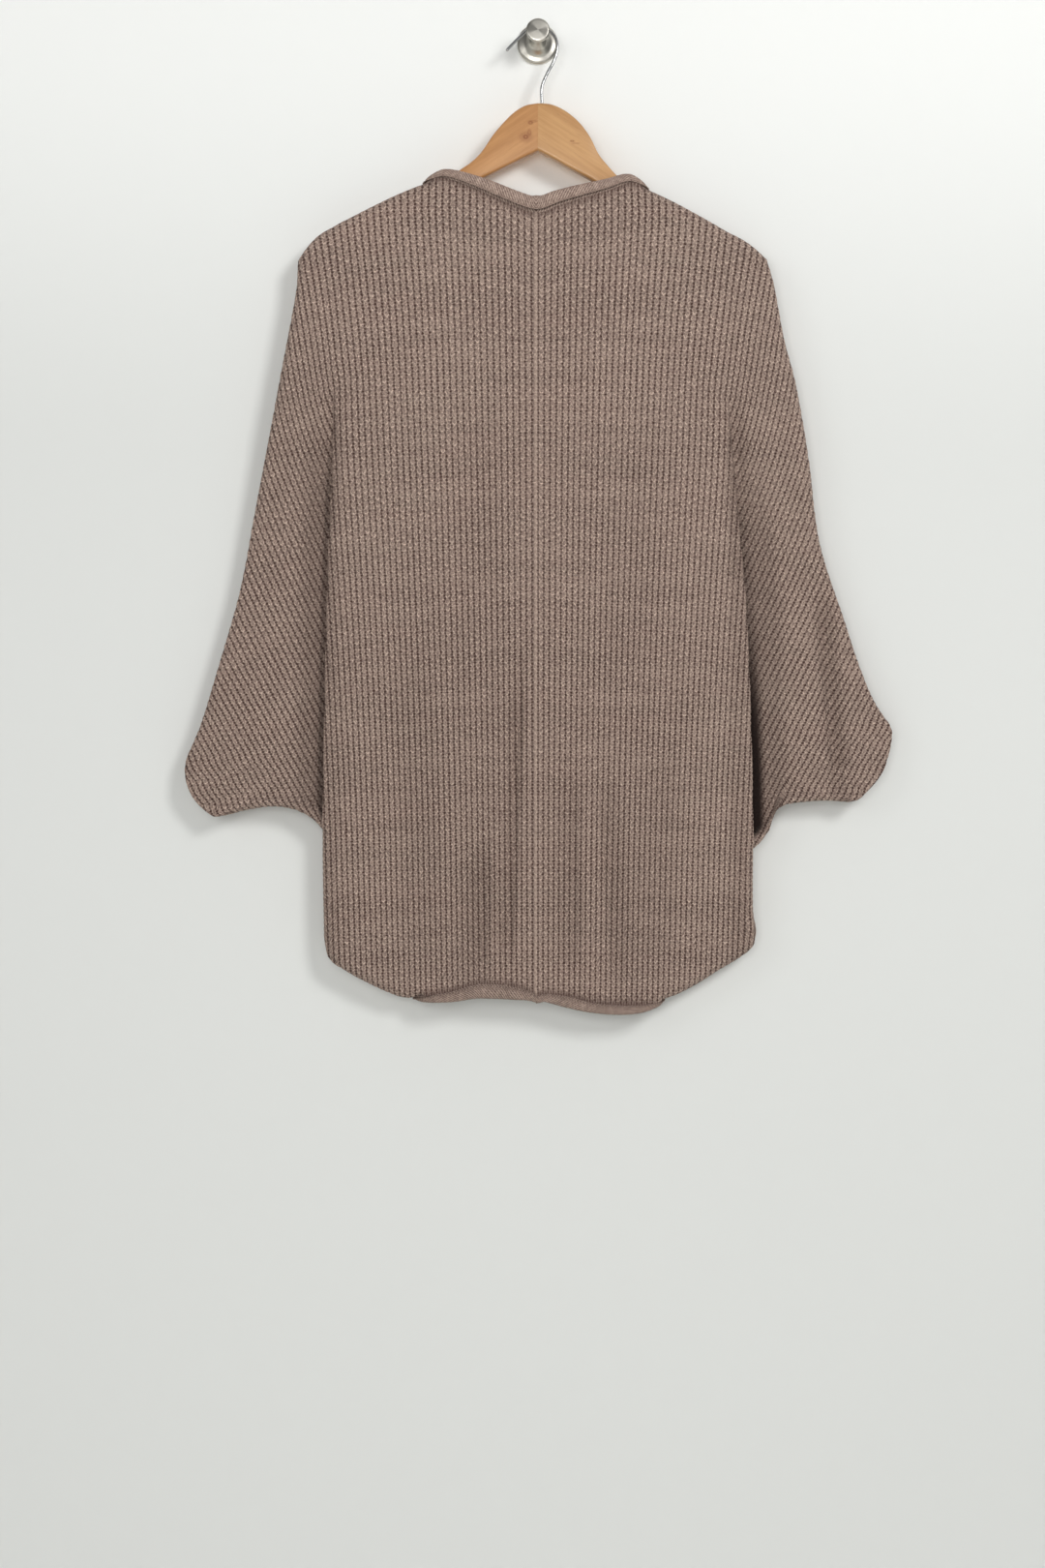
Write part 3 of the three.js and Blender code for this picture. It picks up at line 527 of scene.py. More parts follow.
class Weave:
    """Fabric coordinates of one half: how far along a row of stitches, and how far up a column."""

    BODY_LINES = 15
    SLEEVE_LINES = 8
    ROWS = 45

    # Degrees by which columns lean: at the neck point, over the shoulder, and lower down for each 100 mm out.
    NECK_LEAN = 8
    SHOULDER_LEAN = 8
    LOWER_LEAN = 1.5

    # How firmly a spacing is held along its own direction, the tuck closed, and the seam in place.
    FIRM = 2.2
    TUCK_HOLD = 30
    SEAM_HOLD = 16

    def __init__(self, half):
        self.half = half
        self.solve()

    def lean(self, out, up, in_sleeve):
        """Angle by which a column leans towards the middle at its top, in radians."""
        half = self.half
        below = np.maximum(column(half.sizes["top"], np.minimum(out, half.tuck_top)) - up, 0)
        neck = np.exp(-(((out - 108) / 38) ** 2)) * np.exp(-((below / 35) ** 2))
        shoulder = ease(out / 215) * np.exp(-((below / 190) ** 2))
        spread = self.LOWER_LEAN * out / 100 * ease((-250 - up) / 180)
        body = self.NECK_LEAN * neck - self.SHOULDER_LEAN * shoulder - spread
        beyond = ease((out - half.tuck_top) / 60)
        lower = ease((half.sizes["tuck_starts"] + 50 - up) / 130)
        sleeve = -column(half.sizes["sleeve_lean"], up)
        return np.radians(np.where(in_sleeve, mix(body, sleeve, np.maximum(beyond, lower)), body))

    def pairs(self, upper):
        """Rows and lines of every two neighbouring nodes of the garment."""
        wide = self.BODY_LINES + self.SLEEVE_LINES
        pairs = []
        for r in range(self.ROWS):
            for c in range(wide):
                in_sleeve = c >= self.BODY_LINES
                if in_sleeve and not upper[r]:
                    continue
                if c + 1 < wide and c != self.BODY_LINES - 1:
                    pairs.append((r, c, r, c + 1))
                if r + 1 < self.ROWS and not (in_sleeve and not upper[r + 1]):
                    pairs.append((r, c, r + 1, c))
        return np.array(pairs)

    def wanted_steps(self, out, up, a, b, in_sleeve):
        """Steps along and up the fabric that each pair of nodes should be apart."""
        middle_out = (out[a] + out[b]) / 2
        middle_up = (up[a] + up[b]) / 2
        angle = self.lean(middle_out, middle_up, in_sleeve)
        step_out = out[b] - out[a]
        step_up = up[b] - up[a]
        wider = np.where(in_sleeve, column(SLEEVE_WIDER, middle_up), column(BODY_WIDER, middle_up))
        wider = wider * self.half.sizes["column_width"]
        taller = np.where(in_sleeve, column(SLEEVE_TALLER, middle_up), column(BODY_TALLER, middle_up))
        along = (np.cos(angle) * step_out + np.sin(angle) * step_up) / wider
        height = (-np.sin(angle) * step_out + np.cos(angle) * step_up) / taller
        return along, height

    def solve(self):
        """Both coordinates by least squares, so that stitches keep near to their own size and lean."""
        half = self.half
        rows = np.linspace(0, 2, self.ROWS)
        upper = rows <= 1
        down = np.minimum(rows, 1)
        below = np.maximum(rows - 1, 0)
        across = np.linspace(0, 1, self.BODY_LINES)
        body_out, body_up = half.body(across[None, :], down[:, None], below[:, None])
        outward = half.sleeve_length(down)[:, None] * np.linspace(0, 1, self.SLEEVE_LINES)[None, :]
        sleeve_out, sleeve_up = half.sleeve(down[:, None], outward)
        out = np.hstack([body_out, sleeve_out])
        up = np.hstack([body_up, sleeve_up])
        count = out.size
        ids = np.arange(count).reshape(out.shape)
        pairs = self.pairs(upper)
        a = ids[pairs[:, 0], pairs[:, 1]]
        b = ids[pairs[:, 2], pairs[:, 3]]
        in_row = pairs[:, 0] == pairs[:, 2]
        in_sleeve = pairs[:, 1] >= self.BODY_LINES
        along, height = self.wanted_steps(out.ravel(), up.ravel(), a, b, in_sleeve)

        # Above the tuck the last line of the body and the first of the sleeve are one.
        flat = 1 - half.tucked(up[:, self.BODY_LINES], down) * 20
        held = np.maximum(self.TUCK_HOLD * flat * (upper & (down < 0.5)), 0)
        seam = ids[:, 0]
        node_a = np.concatenate([a, ids[:, self.BODY_LINES - 1]])
        node_b = np.concatenate([b, ids[:, self.BODY_LINES]])
        solved = np.empty((count, 2))
        for axis, wanted, firm in ((0, along, in_row), (1, height, ~in_row)):
            weight = np.concatenate([np.where(firm, self.FIRM, 1.0), held]) ** 2
            pull = weight * np.concatenate([wanted, np.zeros(self.ROWS)])
            normal = 1e-6 * np.eye(count)
            np.add.at(normal, (node_a, node_a), weight)
            np.add.at(normal, (node_b, node_b), weight)
            np.add.at(normal, (node_a, node_b), -weight)
            np.add.at(normal, (node_b, node_a), -weight)
            goal = np.zeros(count)
            np.add.at(goal, node_b, pull)
            np.add.at(goal, node_a, -pull)
            normal[seam, seam] += self.SEAM_HOLD
            goal[seam] += self.SEAM_HOLD * (half.seam if axis == 0 else up[:, 0])
            solved[:, axis] = np.linalg.solve(normal, goal)
        self.body_table = solved[ids[:, : self.BODY_LINES]]
        self.sleeve_table = solved[ids[:, self.BODY_LINES:]]

    def read(self, table, row, place):
        """Value of a table at a row from 0 to 2 and a place from 0 to 1, straight between its nodes."""
        height, wide, _ = table.shape
        r = np.clip(row / 2 * (height - 1), 0, height - 1.001)
        c = np.clip(place, 0, 1) * (wide - 1) * 0.999999
        i = r.astype(int)
        j = c.astype(int)
        fr = (r - i)[..., None]
        fc = (c - j)[..., None]
        upper = mix(table[i, j], table[i, j + 1], fc)
        lower = mix(table[i + 1, j], table[i + 1, j + 1], fc)
        return mix(upper, lower, fr)


def face_depth(half, is_back, out, up):
    """Depth of the outer face of a layer before it rounds away at its folds."""
    low = hanging(up)
    x = half.side * out
    if is_back:
        return mix(BACK_ON_HANGER, BACK_HANGING, low) + fold_depth(BACK_FOLDS, x, up)
    return mix(FRONT_ON_HANGER, FRONT_HANGING, low)


def body_part(half, weave, is_back, down, below, lines):
    """Lines of the body from the centre seam or the front edge to the tuck."""
    tuck_out, _ = half.body(1.0, down, below)
    along_edge = ABOVE_UNDERARM * down + (1 - ABOVE_UNDERARM) * below
    bow = FRONT_EDGE_BOW * np.sin(np.pi * along_edge)
    start = np.zeros_like(down) if is_back else half.from_neck - bow
    first = 1 + TUCK_ACROSS[0][1] / tuck_out
    shares = mix(start, first, np.linspace(0, 1, lines)[None, :])
    out, up = half.body(shares, down, below)
    fabric = weave.read(weave.body_table, np.broadcast_to(down + below, out.shape), shares)
    return out, up, np.zeros_like(out), np.zeros_like(out), fabric


def tuck_part(half, weave, is_back, down, below, tucked, section):
    """One line through the tuck beside the body."""
    tuck_out, tuck_up = half.body(1.0, down, below)
    flat = float(column(TUCK_FLAT, section))
    across = float(column(TUCK_ACROSS, section))
    if section > TUCK_GAPES:
        across = across * mix(1, half.sizes["gape"], float(ease(section - TUCK_GAPES)))
    place = mix(flat, across, tucked) if is_back else np.full_like(tucked, flat)
    if section <= TUCK_EDGE:
        out, up = half.body(1 + place / tuck_out, down, below)
        fabric = weave.read(weave.body_table, down + below, 1 + np.minimum(place, 0) / tuck_out)
        shade = np.zeros_like(tucked)
    else:
        outward = np.maximum(place, 0)
        sleeve_out, sleeve_up = half.sleeve(down, outward)
        out = np.where(place > 0, sleeve_out, tuck_out + place)
        up = np.where(place > 0, sleeve_up, tuck_up)
        fabric = weave.read(weave.sleeve_table, down, outward / half.sleeve_length(down))
        shade = tucked
    if is_back:
        deep = float(column(TUCK_DEEP, section)) * tucked
    else:
        deep = -2 * tucked * math.exp(-((flat / 12) ** 2))
    return out, up, deep, shade, fabric


def sleeve_part(half, weave, is_back, down, below, tucked, lines):
    """Lines of the sleeve from the tuck to its edge, closer together where it rounds away."""
    length = half.sleeve_length(down)
    flat_end = TUCK_FLAT[-1][1]
    widest = TUCK_ACROSS[-1][1] * half.sizes["gape"]
    start = mix(flat_end, widest, tucked) if is_back else np.full_like(tucked, flat_end)
    inner = np.linspace(0, 1, lines)[1:]
    near = ROUNDING * (1 - np.cos(np.linspace(0, math.pi / 2, ROUNDING_LINES)))[::-1][1:]
    outward = np.hstack([mix(start, length - ROUNDING, inner[None, :]), length - near[None, :]])
    out, up = half.sleeve(down, outward)
    settle = np.clip((outward - start) / SLEEVE_FLAT_BY, 0, 1)
    deep = mix(TUCK_DEEP[-1][1], SLEEVE_DEEP, settle) * tucked if is_back else np.zeros_like(outward)
    shade = np.exp(-((np.maximum(outward - start, 0) / UNDER_FOLD_WIDE) ** 2)) * tucked
    row = np.broadcast_to(down + below, outward.shape)
    return out, up, deep, shade, weave.read(weave.sleeve_table, row, outward / length)


def layer_shape(half, weave, is_back, row_step, body_lines, sleeve_lines):
    """Outer face of one layer as a grid of points, with their fabric coordinates."""
    down, below = (share[:, None] for share in half.rows(row_step))
    tuck_out, tuck_up = half.body(1.0, down, below)
    tucked = np.where(below > 0, 0.0, half.tucked(tuck_up, down))
    sections = np.concatenate([
        np.linspace(0, TUCK_EDGE, TUCK_EDGE_LINES + 1)[1:],
        np.linspace(TUCK_EDGE, TUCK_ENDS, TUCK_SLEEVE_LINES + 1)[1:],
    ])
    parts = [body_part(half, weave, is_back, down, below, body_lines)]
    parts += [tuck_part(half, weave, is_back, down, below, tucked, section) for section in sections]
    parts.append(sleeve_part(half, weave, is_back, down, below, tucked, sleeve_lines))
    out, up, deep, shade, fabric = (np.concatenate(columns, axis=1) for columns in zip(*parts))

    # Painted shade drawn much deeper in the slit where the sleeve hangs behind the side of the body.
    beside = 1 - ease((out - tuck_out - SLIT_WIDE) / SLIT_FADE)
    near_arm = ease((SLIT_TOP - up) / SLIT_GROWS) * ease((up - SLIT_BOTTOM) / SLIT_ENDS)
    shade = shade * (1 + half.sizes["slit"] * beside * near_arm) * is_back
    valid = np.ones(out.shape, bool)
    valid[(below > 0)[:, 0], body_lines + TUCK_EDGE_LINES:] = False
    away = half.to_meeting(out, up)
    round_off = np.sqrt(np.maximum(1 - (1 - np.minimum(away / ROUNDING, 1)) ** 2, 0))
    face = face_depth(half, is_back, out, up) + deep
    points = np.stack([half.side * out, mix(fold_plane(up), face, round_off), up], axis=-1)
    return {
        "points": points, "fabric": fabric, "valid": valid, "away": away, "out": out, "up": up,
        "down": down[:, 0], "below": below[:, 0], "shade": shade,
    }


def grid_cells(valid):
    """Corner numbers of every cell of a grid whose four corners are all there."""
    height, wide = valid.shape
    ids = np.arange(height * wide).reshape(height, wide)
    whole = valid[:-1, :-1] & valid[:-1, 1:] & valid[1:, 1:] & valid[1:, :-1]
    corners = [ids[:-1, :-1], ids[:-1, 1:], ids[1:, 1:], ids[1:, :-1]]
    return np.stack([part[whole] for part in corners], axis=1)


def grid_normals(points, cells):
    """Unit normals of a grid's points, from the cells around each."""
    flat = points.reshape(-1, 3)
    across = flat[cells[:, 2]] - flat[cells[:, 0]]
    other = flat[cells[:, 3]] - flat[cells[:, 1]]
    normal = np.cross(across, other)
    total = np.zeros_like(flat)
    for corner in range(4):
        np.add.at(total, cells[:, corner], normal)
    length = np.linalg.norm(total, axis=1)
    return (total / np.maximum(length, 1e-12)[:, None]).reshape(points.shape)


def knit_relief(fabric, depth):
    """How far the cloth sinks between its loops: low domes, shifted by half from column to column."""
    along = fabric[..., 0] / COLUMN
    chain = np.floor(along)
    within = (along - chain - 0.5) * COLUMN
    up = fabric[..., 1] / STITCH + 0.5 * np.mod(chain, 2)
    high = (up - np.round(up)) * STITCH
    dome = np.clip(1 - (within / DOME_WIDE) ** 2 - (high / DOME_TALL) ** 2, 0, 1)
    return depth * (1 - dome ** 0.6)


def openness_at(half, out, up):
    """How far the knit is pulled open: most where the shoulder carries the weight."""
    below = np.maximum(column(half.sizes["top"], np.minimum(out, half.tuck_top)) - up, 0)
    return ease((out - OPEN_FROM) / OPEN_OVER) * np.exp(-((below / OPEN_DOWN) ** 2))


def make_mesh(name, points, faces, uv=None, flat_faces=0, shares=()):
    """New mesh object from points in millimetres and a list of faces, the last few of them flat."""
    mesh = bpy.data.meshes.new(name)
    mesh.from_pydata((np.asarray(points) * MM).tolist(), [], faces)
    if uv is not None:
        layer = mesh.uv_layers.new(name="Fabric")
        loops = np.empty(len(mesh.loops), np.int32)
        mesh.loops.foreach_get("vertex_index", loops)
        layer.data.foreach_set("uv", np.asarray(uv, np.float32)[loops].ravel())
    for word, values in shares:
        share = mesh.attributes.new(word, "FLOAT", "POINT")
        share.data.foreach_set("value", np.asarray(values, np.float32))
    smooth = [True] * (len(faces) - flat_faces) + [False] * flat_faces
    mesh.polygons.foreach_set("use_smooth", smooth)
    mesh.update()
    piece = bpy.data.objects.new(name, mesh)
    bpy.context.scene.collection.objects.link(piece)
    return piece


def tube_cells(count, sides):
    """Corner numbers of the four-sided faces between rings of points."""
    ids = np.arange(count * sides).reshape(count, sides)
    following = np.roll(ids, -1, axis=1)
    return np.stack([ids[:-1], following[:-1], following[1:], ids[1:]], axis=-1).reshape(-1, 4)


def keep_used(faces, *columns):
    """Drops the points that no face uses."""
    used = np.unique(faces)
    renumber = np.full(len(columns[0]), -1)
    renumber[used] = np.arange(len(used))
    return [renumber[faces]] + [values[used] for values in columns]


def cuff_lip(half, shape, normals, points, uv):
    """Rings of points that turn the edge in at the cuff, with their fabric coordinates and faces."""
    wide = shape["valid"].shape[1]
    rows = np.nonzero((shape["below"] == 0) & (shape["down"] > half.cuff_share))[0]
    edge = rows * wide + wide - 1
    inward = shape["points"][rows, wide - 1] - shape["points"][rows, wide - 12]
    inward[:, 1] = 0
    inward = -unit_length(inward)
    normal = normals[rows, wide - 1]
    lip = np.vstack([points[edge] + inward * into - normal * under for into, under in CUFF_LIP])
    lip_uv = np.vstack([uv[edge] + (into, 0) for into, _ in CUFF_LIP])
    ids = [edge] + [len(points) + k * len(edge) + np.arange(len(edge)) for k in range(len(CUFF_LIP))]
    quads = [np.stack([a[:-1], b[:-1], b[1:], a[1:]], axis=1) for a, b in zip(ids[:-1], ids[1:])]
    return lip, lip_uv, np.vstack(quads)


def back_details(half, shape):
    """Where the back is gathered into its band, how painted shade darkens its folds, and its raised centre
    seam.
    """
    out = shape["out"]
    strip = 1 - ease((out - half.seam - SEAM_STRIP * 0.2) / (SEAM_STRIP * 0.9))
    from_top = column(half.sizes["top"], out) - shape["up"]
    from_hem = shape["up"] - column(half.sizes["bottom"], out)
    by_band = 1 - ease((out - half.sizes["neck_point"]) / GATHER_ENDS)
    at_top = np.exp(-((from_top / GATHER_REACH) ** 2))
    at_hem = np.exp(-((from_hem / GATHER_REACH) ** 2))
    gather = np.maximum(at_top, at_hem) * by_band
    sunk = fold_depth(BACK_FOLDS, half.side * out, shape["up"])
    shade = np.maximum(shape["shade"], np.clip(sunk / FOLD_SHADE_DEEP, 0, 1) * FOLD_SHADE)
    return strip, gather, shade


def make_panel(half, weave, is_back, stitch_depth):
    """One layer of one half: its outer face with its stitches, and the turned-in edge at the cuff."""
    shape = layer_shape(half, weave, is_back, *(BACK_MESH if is_back else FRONT_MESH))
    turned = (half.side > 0) == is_back
    cells = grid_cells(shape["valid"])
    if turned:
        cells = cells[:, ::-1]
    normals = grid_normals(shape["points"], cells)
    normals[shape["away"] < 1e-3, 1] = 0
    length = np.linalg.norm(normals, axis=-1, keepdims=True)
    normals = normals / np.maximum(length, 1e-9)
    openness = openness_at(half, shape["out"], shape["up"])
    strip = gather = np.zeros_like(openness)
    shade = shape["shade"]
    if is_back:
        normals[:, 0, 0] = 0
        shape["fabric"] = pulled_rows(shape["fabric"], half.side * shape["out"], shape["up"])
        strip, gather, shade = back_details(half, shape)
    relief = knit_relief(shape["fabric"], stitch_depth) * mix(RELIEF_CLOSED, RELIEF_OPEN, openness)
    relief = relief * mix(RELIEF_AT_FOLD, 1.0, ease(shape["away"] / RELIEF_WHOLE))
    ridge = 0.45 * strip * (1 + 0.6 * np.sin(shape["up"] / 1.9))
    relief = relief * (1 - 0.5 * strip) - ridge

    points = (shape["points"] - normals * relief[..., None]).reshape(-1, 3)
    uv = shape["fabric"].reshape(-1, 2)
    shares = np.stack([openness, strip, gather, shade], axis=-1).reshape(-1, 4)
    lip, lip_uv, lip_faces = cuff_lip(half, shape, normals, points, uv)
    faces, points, uv, shares = keep_used(
        np.vstack([cells, lip_faces[:, ::-1] if turned else lip_faces]),
        np.vstack([points, lip]),
        np.vstack([uv, lip_uv]),
        np.vstack([shares, np.zeros((len(lip), 4))]),
    )
    name = f"{'back' if is_back else 'front'}_and_sleeve_{half.sizes['name']}_knit"
    named = list(zip(("open", "strip", "gather", "shade"), shares.T))
    return make_mesh(name, points, faces.tolist(), uv, shares=named), shape, normals


# ---------------------------------------------------------------------------------------------------
# Edge band
# ---------------------------------------------------------------------------------------------------


def smooth_along(values, spread):
    """Evens out a list of vectors along its length, leaving its ends where they are."""
    reach = int(spread * 3)
    kernel = np.exp(-((np.arange(-reach, reach + 1) / spread) ** 2) / 2)
    kernel = kernel / kernel.sum()
    padded = np.vstack([
        2 * values[0] - values[reach:0:-1], values, 2 * values[-1] - values[-2:-reach - 2:-1],
    ])
    return np.stack([np.convolve(padded[:, k], kernel, "valid") for k in range(values.shape[1])], 1)


def without(vectors, unit):
    """Vectors with their share along unit vectors taken out."""
    return vectors - unit * np.sum(vectors * unit, axis=1)[:, None]


def unit_length(vectors):
    """Vectors made one long."""
    return vectors / np.linalg.norm(vectors, axis=1)[:, None]


def resample(values, lengths, places):
    """Vectors at new places along a line."""
    return np.stack([np.interp(places, lengths, values[:, k]) for k in range(values.shape[1])], 1)


def corner_frame(half, at_neck):
    """Place and frame of the band where it turns over a neck point, or under a bottom corner."""
    out = half.sizes["neck_point"] + half.sizes["over_neck" if at_neck else "over_hem"]
    table = half.sizes["top" if at_neck else "bottom"]
    up = float(column(table, out))
    slope = (float(column(table, out + 3)) - float(column(table, out - 3))) / 6
    length = math.hypot(1, slope)
    away = np.array([-half.side / length, 0, -slope / length])
    off = np.array([half.side * slope / length, 0, -1 / length])
    if at_neck:
        off = -off
    point = np.array([half.side * out, float(fold_plane(up)), up]) - off * 0.6
    return point, away, off


def band_stations(half, back, front, back_normals, front_normals):
    """Points along the back neck, the front edge and the hem, with the band's directions and widths."""
    neck = int(np.argmin(np.abs(back["out"][0] - half.sizes["neck_point"])))
    last = len(back["down"]) - 1
    centre = np.array([-half.side, 0.0, 0.0])
    parts = [
        (back["points"][0, :neck], back_normals[0, :neck], (0.0, 0.0, 1.0), back["out"][0, :neck]),
        (front["points"][:, 0], front_normals[:, 0], centre, None),
        (back["points"][last, :neck][::-1], back_normals[last, :neck][::-1], (0.0, 0.0, -1.0),
         back["out"][last, :neck][::-1]),
    ]
    points, aways, offs, widths = [], [], [], []
    for index, (line, normals, hint, outs) in enumerate(parts):
        steps = np.linalg.norm(np.diff(line, axis=0), axis=1)
        lengths = np.concatenate([[0], np.cumsum(steps)])
        start = BAND_ROUND_CORNER if index > 0 else 0
        stop = BAND_ROUND_CORNER if index < 2 else 0
        count = int((lengths[-1] - start - stop) / BAND_STATION_STEP)
        places = np.linspace(start, lengths[-1] - stop, count)
        line = resample(line, lengths, places)
        faces = smooth_along(resample(normals, lengths, places), 5.0)
        run = unit_length(np.gradient(smooth_along(line, 3.0), axis=0))
        away = without(np.broadcast_to(np.array(hint, float), line.shape), run)
        away = away - faces * np.sum(away * faces, axis=1)[:, None] * 0.9
        points.append(line)
        aways.append(away)
        offs.append(faces)
        if outs is None:
            widths.append(np.tile((BAND_FRONT_WIDTH, 1.0), (len(line), 1)))
        else:
            table = half.sizes["neck_band" if index == 0 else "hem_band"]
            wide = column(table, np.interp(places, lengths, outs))
            widths.append(np.stack([wide, np.minimum(wide, 1.0)], axis=1))
        if index < 2:
            point, turn_away, turn_off = corner_frame(half, index == 0)
            points.append(point[None, :])
            aways.append(turn_away[None, :])
            offs.append(turn_off[None, :])
            widths.append(np.array([[BAND_CORNER_WIDTH, BAND_CORNER_THICK]]))
    return np.vstack(points), np.hstack([np.vstack(aways), np.vstack(offs), np.vstack(widths)])


def band_path(points, frames):
    """Smooth evenly spaced line through the stations, with its directions and widths."""
    steps = np.sqrt(np.linalg.norm(np.diff(points, axis=0), axis=1))
    knots = np.concatenate([[0], np.cumsum(steps)])
    fine = np.linspace(0, knots[-1], 6000)
    line = spline_through(knots, points, fine)
    frames = spline_through(knots, frames, fine)
    steps = np.linalg.norm(np.diff(line, axis=0), axis=1)
    lengths = np.concatenate([[0], np.cumsum(steps)])
    places = np.linspace(0, lengths[-1], int(lengths[-1] / BAND_STEP))
    line = smooth_along(resample(line, lengths, places), 2.0)
    frames = smooth_along(resample(frames, lengths, places), 3.0)
    run = unit_length(np.gradient(line, axis=0))
    fade = ease(np.minimum(places, places[-1] - places) / 8)[:, None]
    run = unit_length(mix(run * (1.0, 0.0, 0.0), run, fade))
    away = unit_length(without(frames[:, :3], run))
    off = unit_length(without(without(frames[:, 3:6], run), away))
    return line, away, off, frames[:, 6:], places


def spline_through(knots, values, places):
    """Smooth curve through values at uneven knots."""
    slope = np.gradient(values, knots, axis=0)
    i = np.clip(np.searchsorted(knots, places) - 1, 0, len(knots) - 2)
    span = (knots[i + 1] - knots[i])[:, None]
    t = ((places - knots[i]) / span[:, 0])[:, None]
    bend_a = t * (1 - t) * (1 - t) * span * slope[i]
    bend_b = t * t * (1 - t) * span * slope[i + 1]
    return mix(values[i], values[i + 1], ease(t)) + bend_a - bend_b


def band_section(sides):
    """Closed outline of the rolled wall of the band, evenly spaced, with how far round each point is."""
    line, _ = smooth_line(BAND_ROLL, 200)
    run = unit_length(np.gradient(line, axis=0))
    side = np.stack([-run[:, 1], run[:, 0]], axis=1)
    inner = line + side * BAND_WALL / 2
    outer = line - side * BAND_WALL / 2
    turn = np.linspace(-math.pi / 2, math.pi / 2, 9)[1:-1]
    tip = run[-1] * np.cos(turn)[:, None] - side[-1] * np.sin(turn)[:, None]
    tip = line[-1] + BAND_WALL / 2 * tip
    outline = np.vstack([outer, tip, inner[::-1], outer[:1]])
    steps = np.linalg.norm(np.diff(outline, axis=0), axis=1)
    so_far = np.concatenate([[0], np.cumsum(steps)])
    places = np.linspace(0, so_far[-1], sides + 1)[:-1]
    return resample(outline, so_far, places), places


def band_relief(along, around, depth):
    """Short slanting strands in rows along the band."""
    turn = 2 * math.pi * (along + 0.9 * around) / BAND_STRAND
    row = 2 * math.pi * around / BAND_ROW
    return depth * (0.5 - 0.3 * np.cos(turn) - 0.2 * np.cos(row))


def make_band(half, path, depth):
    """Rolled band of one half along its path, with its strands."""
    points, away, off, width, places = path
    outline, around = band_section(BAND_SIDES)
    across = outline[None, :, :1] * width[:, None, :1]
    over = outline[None, :, 1:] * width[:, None, 1:]
    rings = points[:, None, :] + away[:, None, :] * across + off[:, None, :] * over
    count, sides = rings.shape[:2]
    tangent = unit_length(np.roll(outline, -1, axis=0) - np.roll(outline, 1, axis=0))
    side = np.stack([tangent[:, 1], -tangent[:, 0]], axis=1)
    normal = away[:, None, :] * side[None, :, :1] + off[:, None, :] * side[None, :, 1:]
    ends = ease(np.minimum(places, places[-1] - places) / 2)[:, None]
    relief = band_relief(places[:, None], around[None, :], depth) * ends
    rings = rings - normal * relief[..., None]
    cells = tube_cells(count, sides)
    if half.side > 0:
        cells = cells[:, ::-1]
    uv = np.stack(np.broadcast_arrays(around[None, :], places[:, None]), axis=-1).reshape(-1, 2)
    return make_mesh(f"edge_band_{half.sizes['name']}_knit", rings.reshape(-1, 3), cells.tolist(), uv)


# ---------------------------------------------------------------------------------------------------
# Materials
# ---------------------------------------------------------------------------------------------------


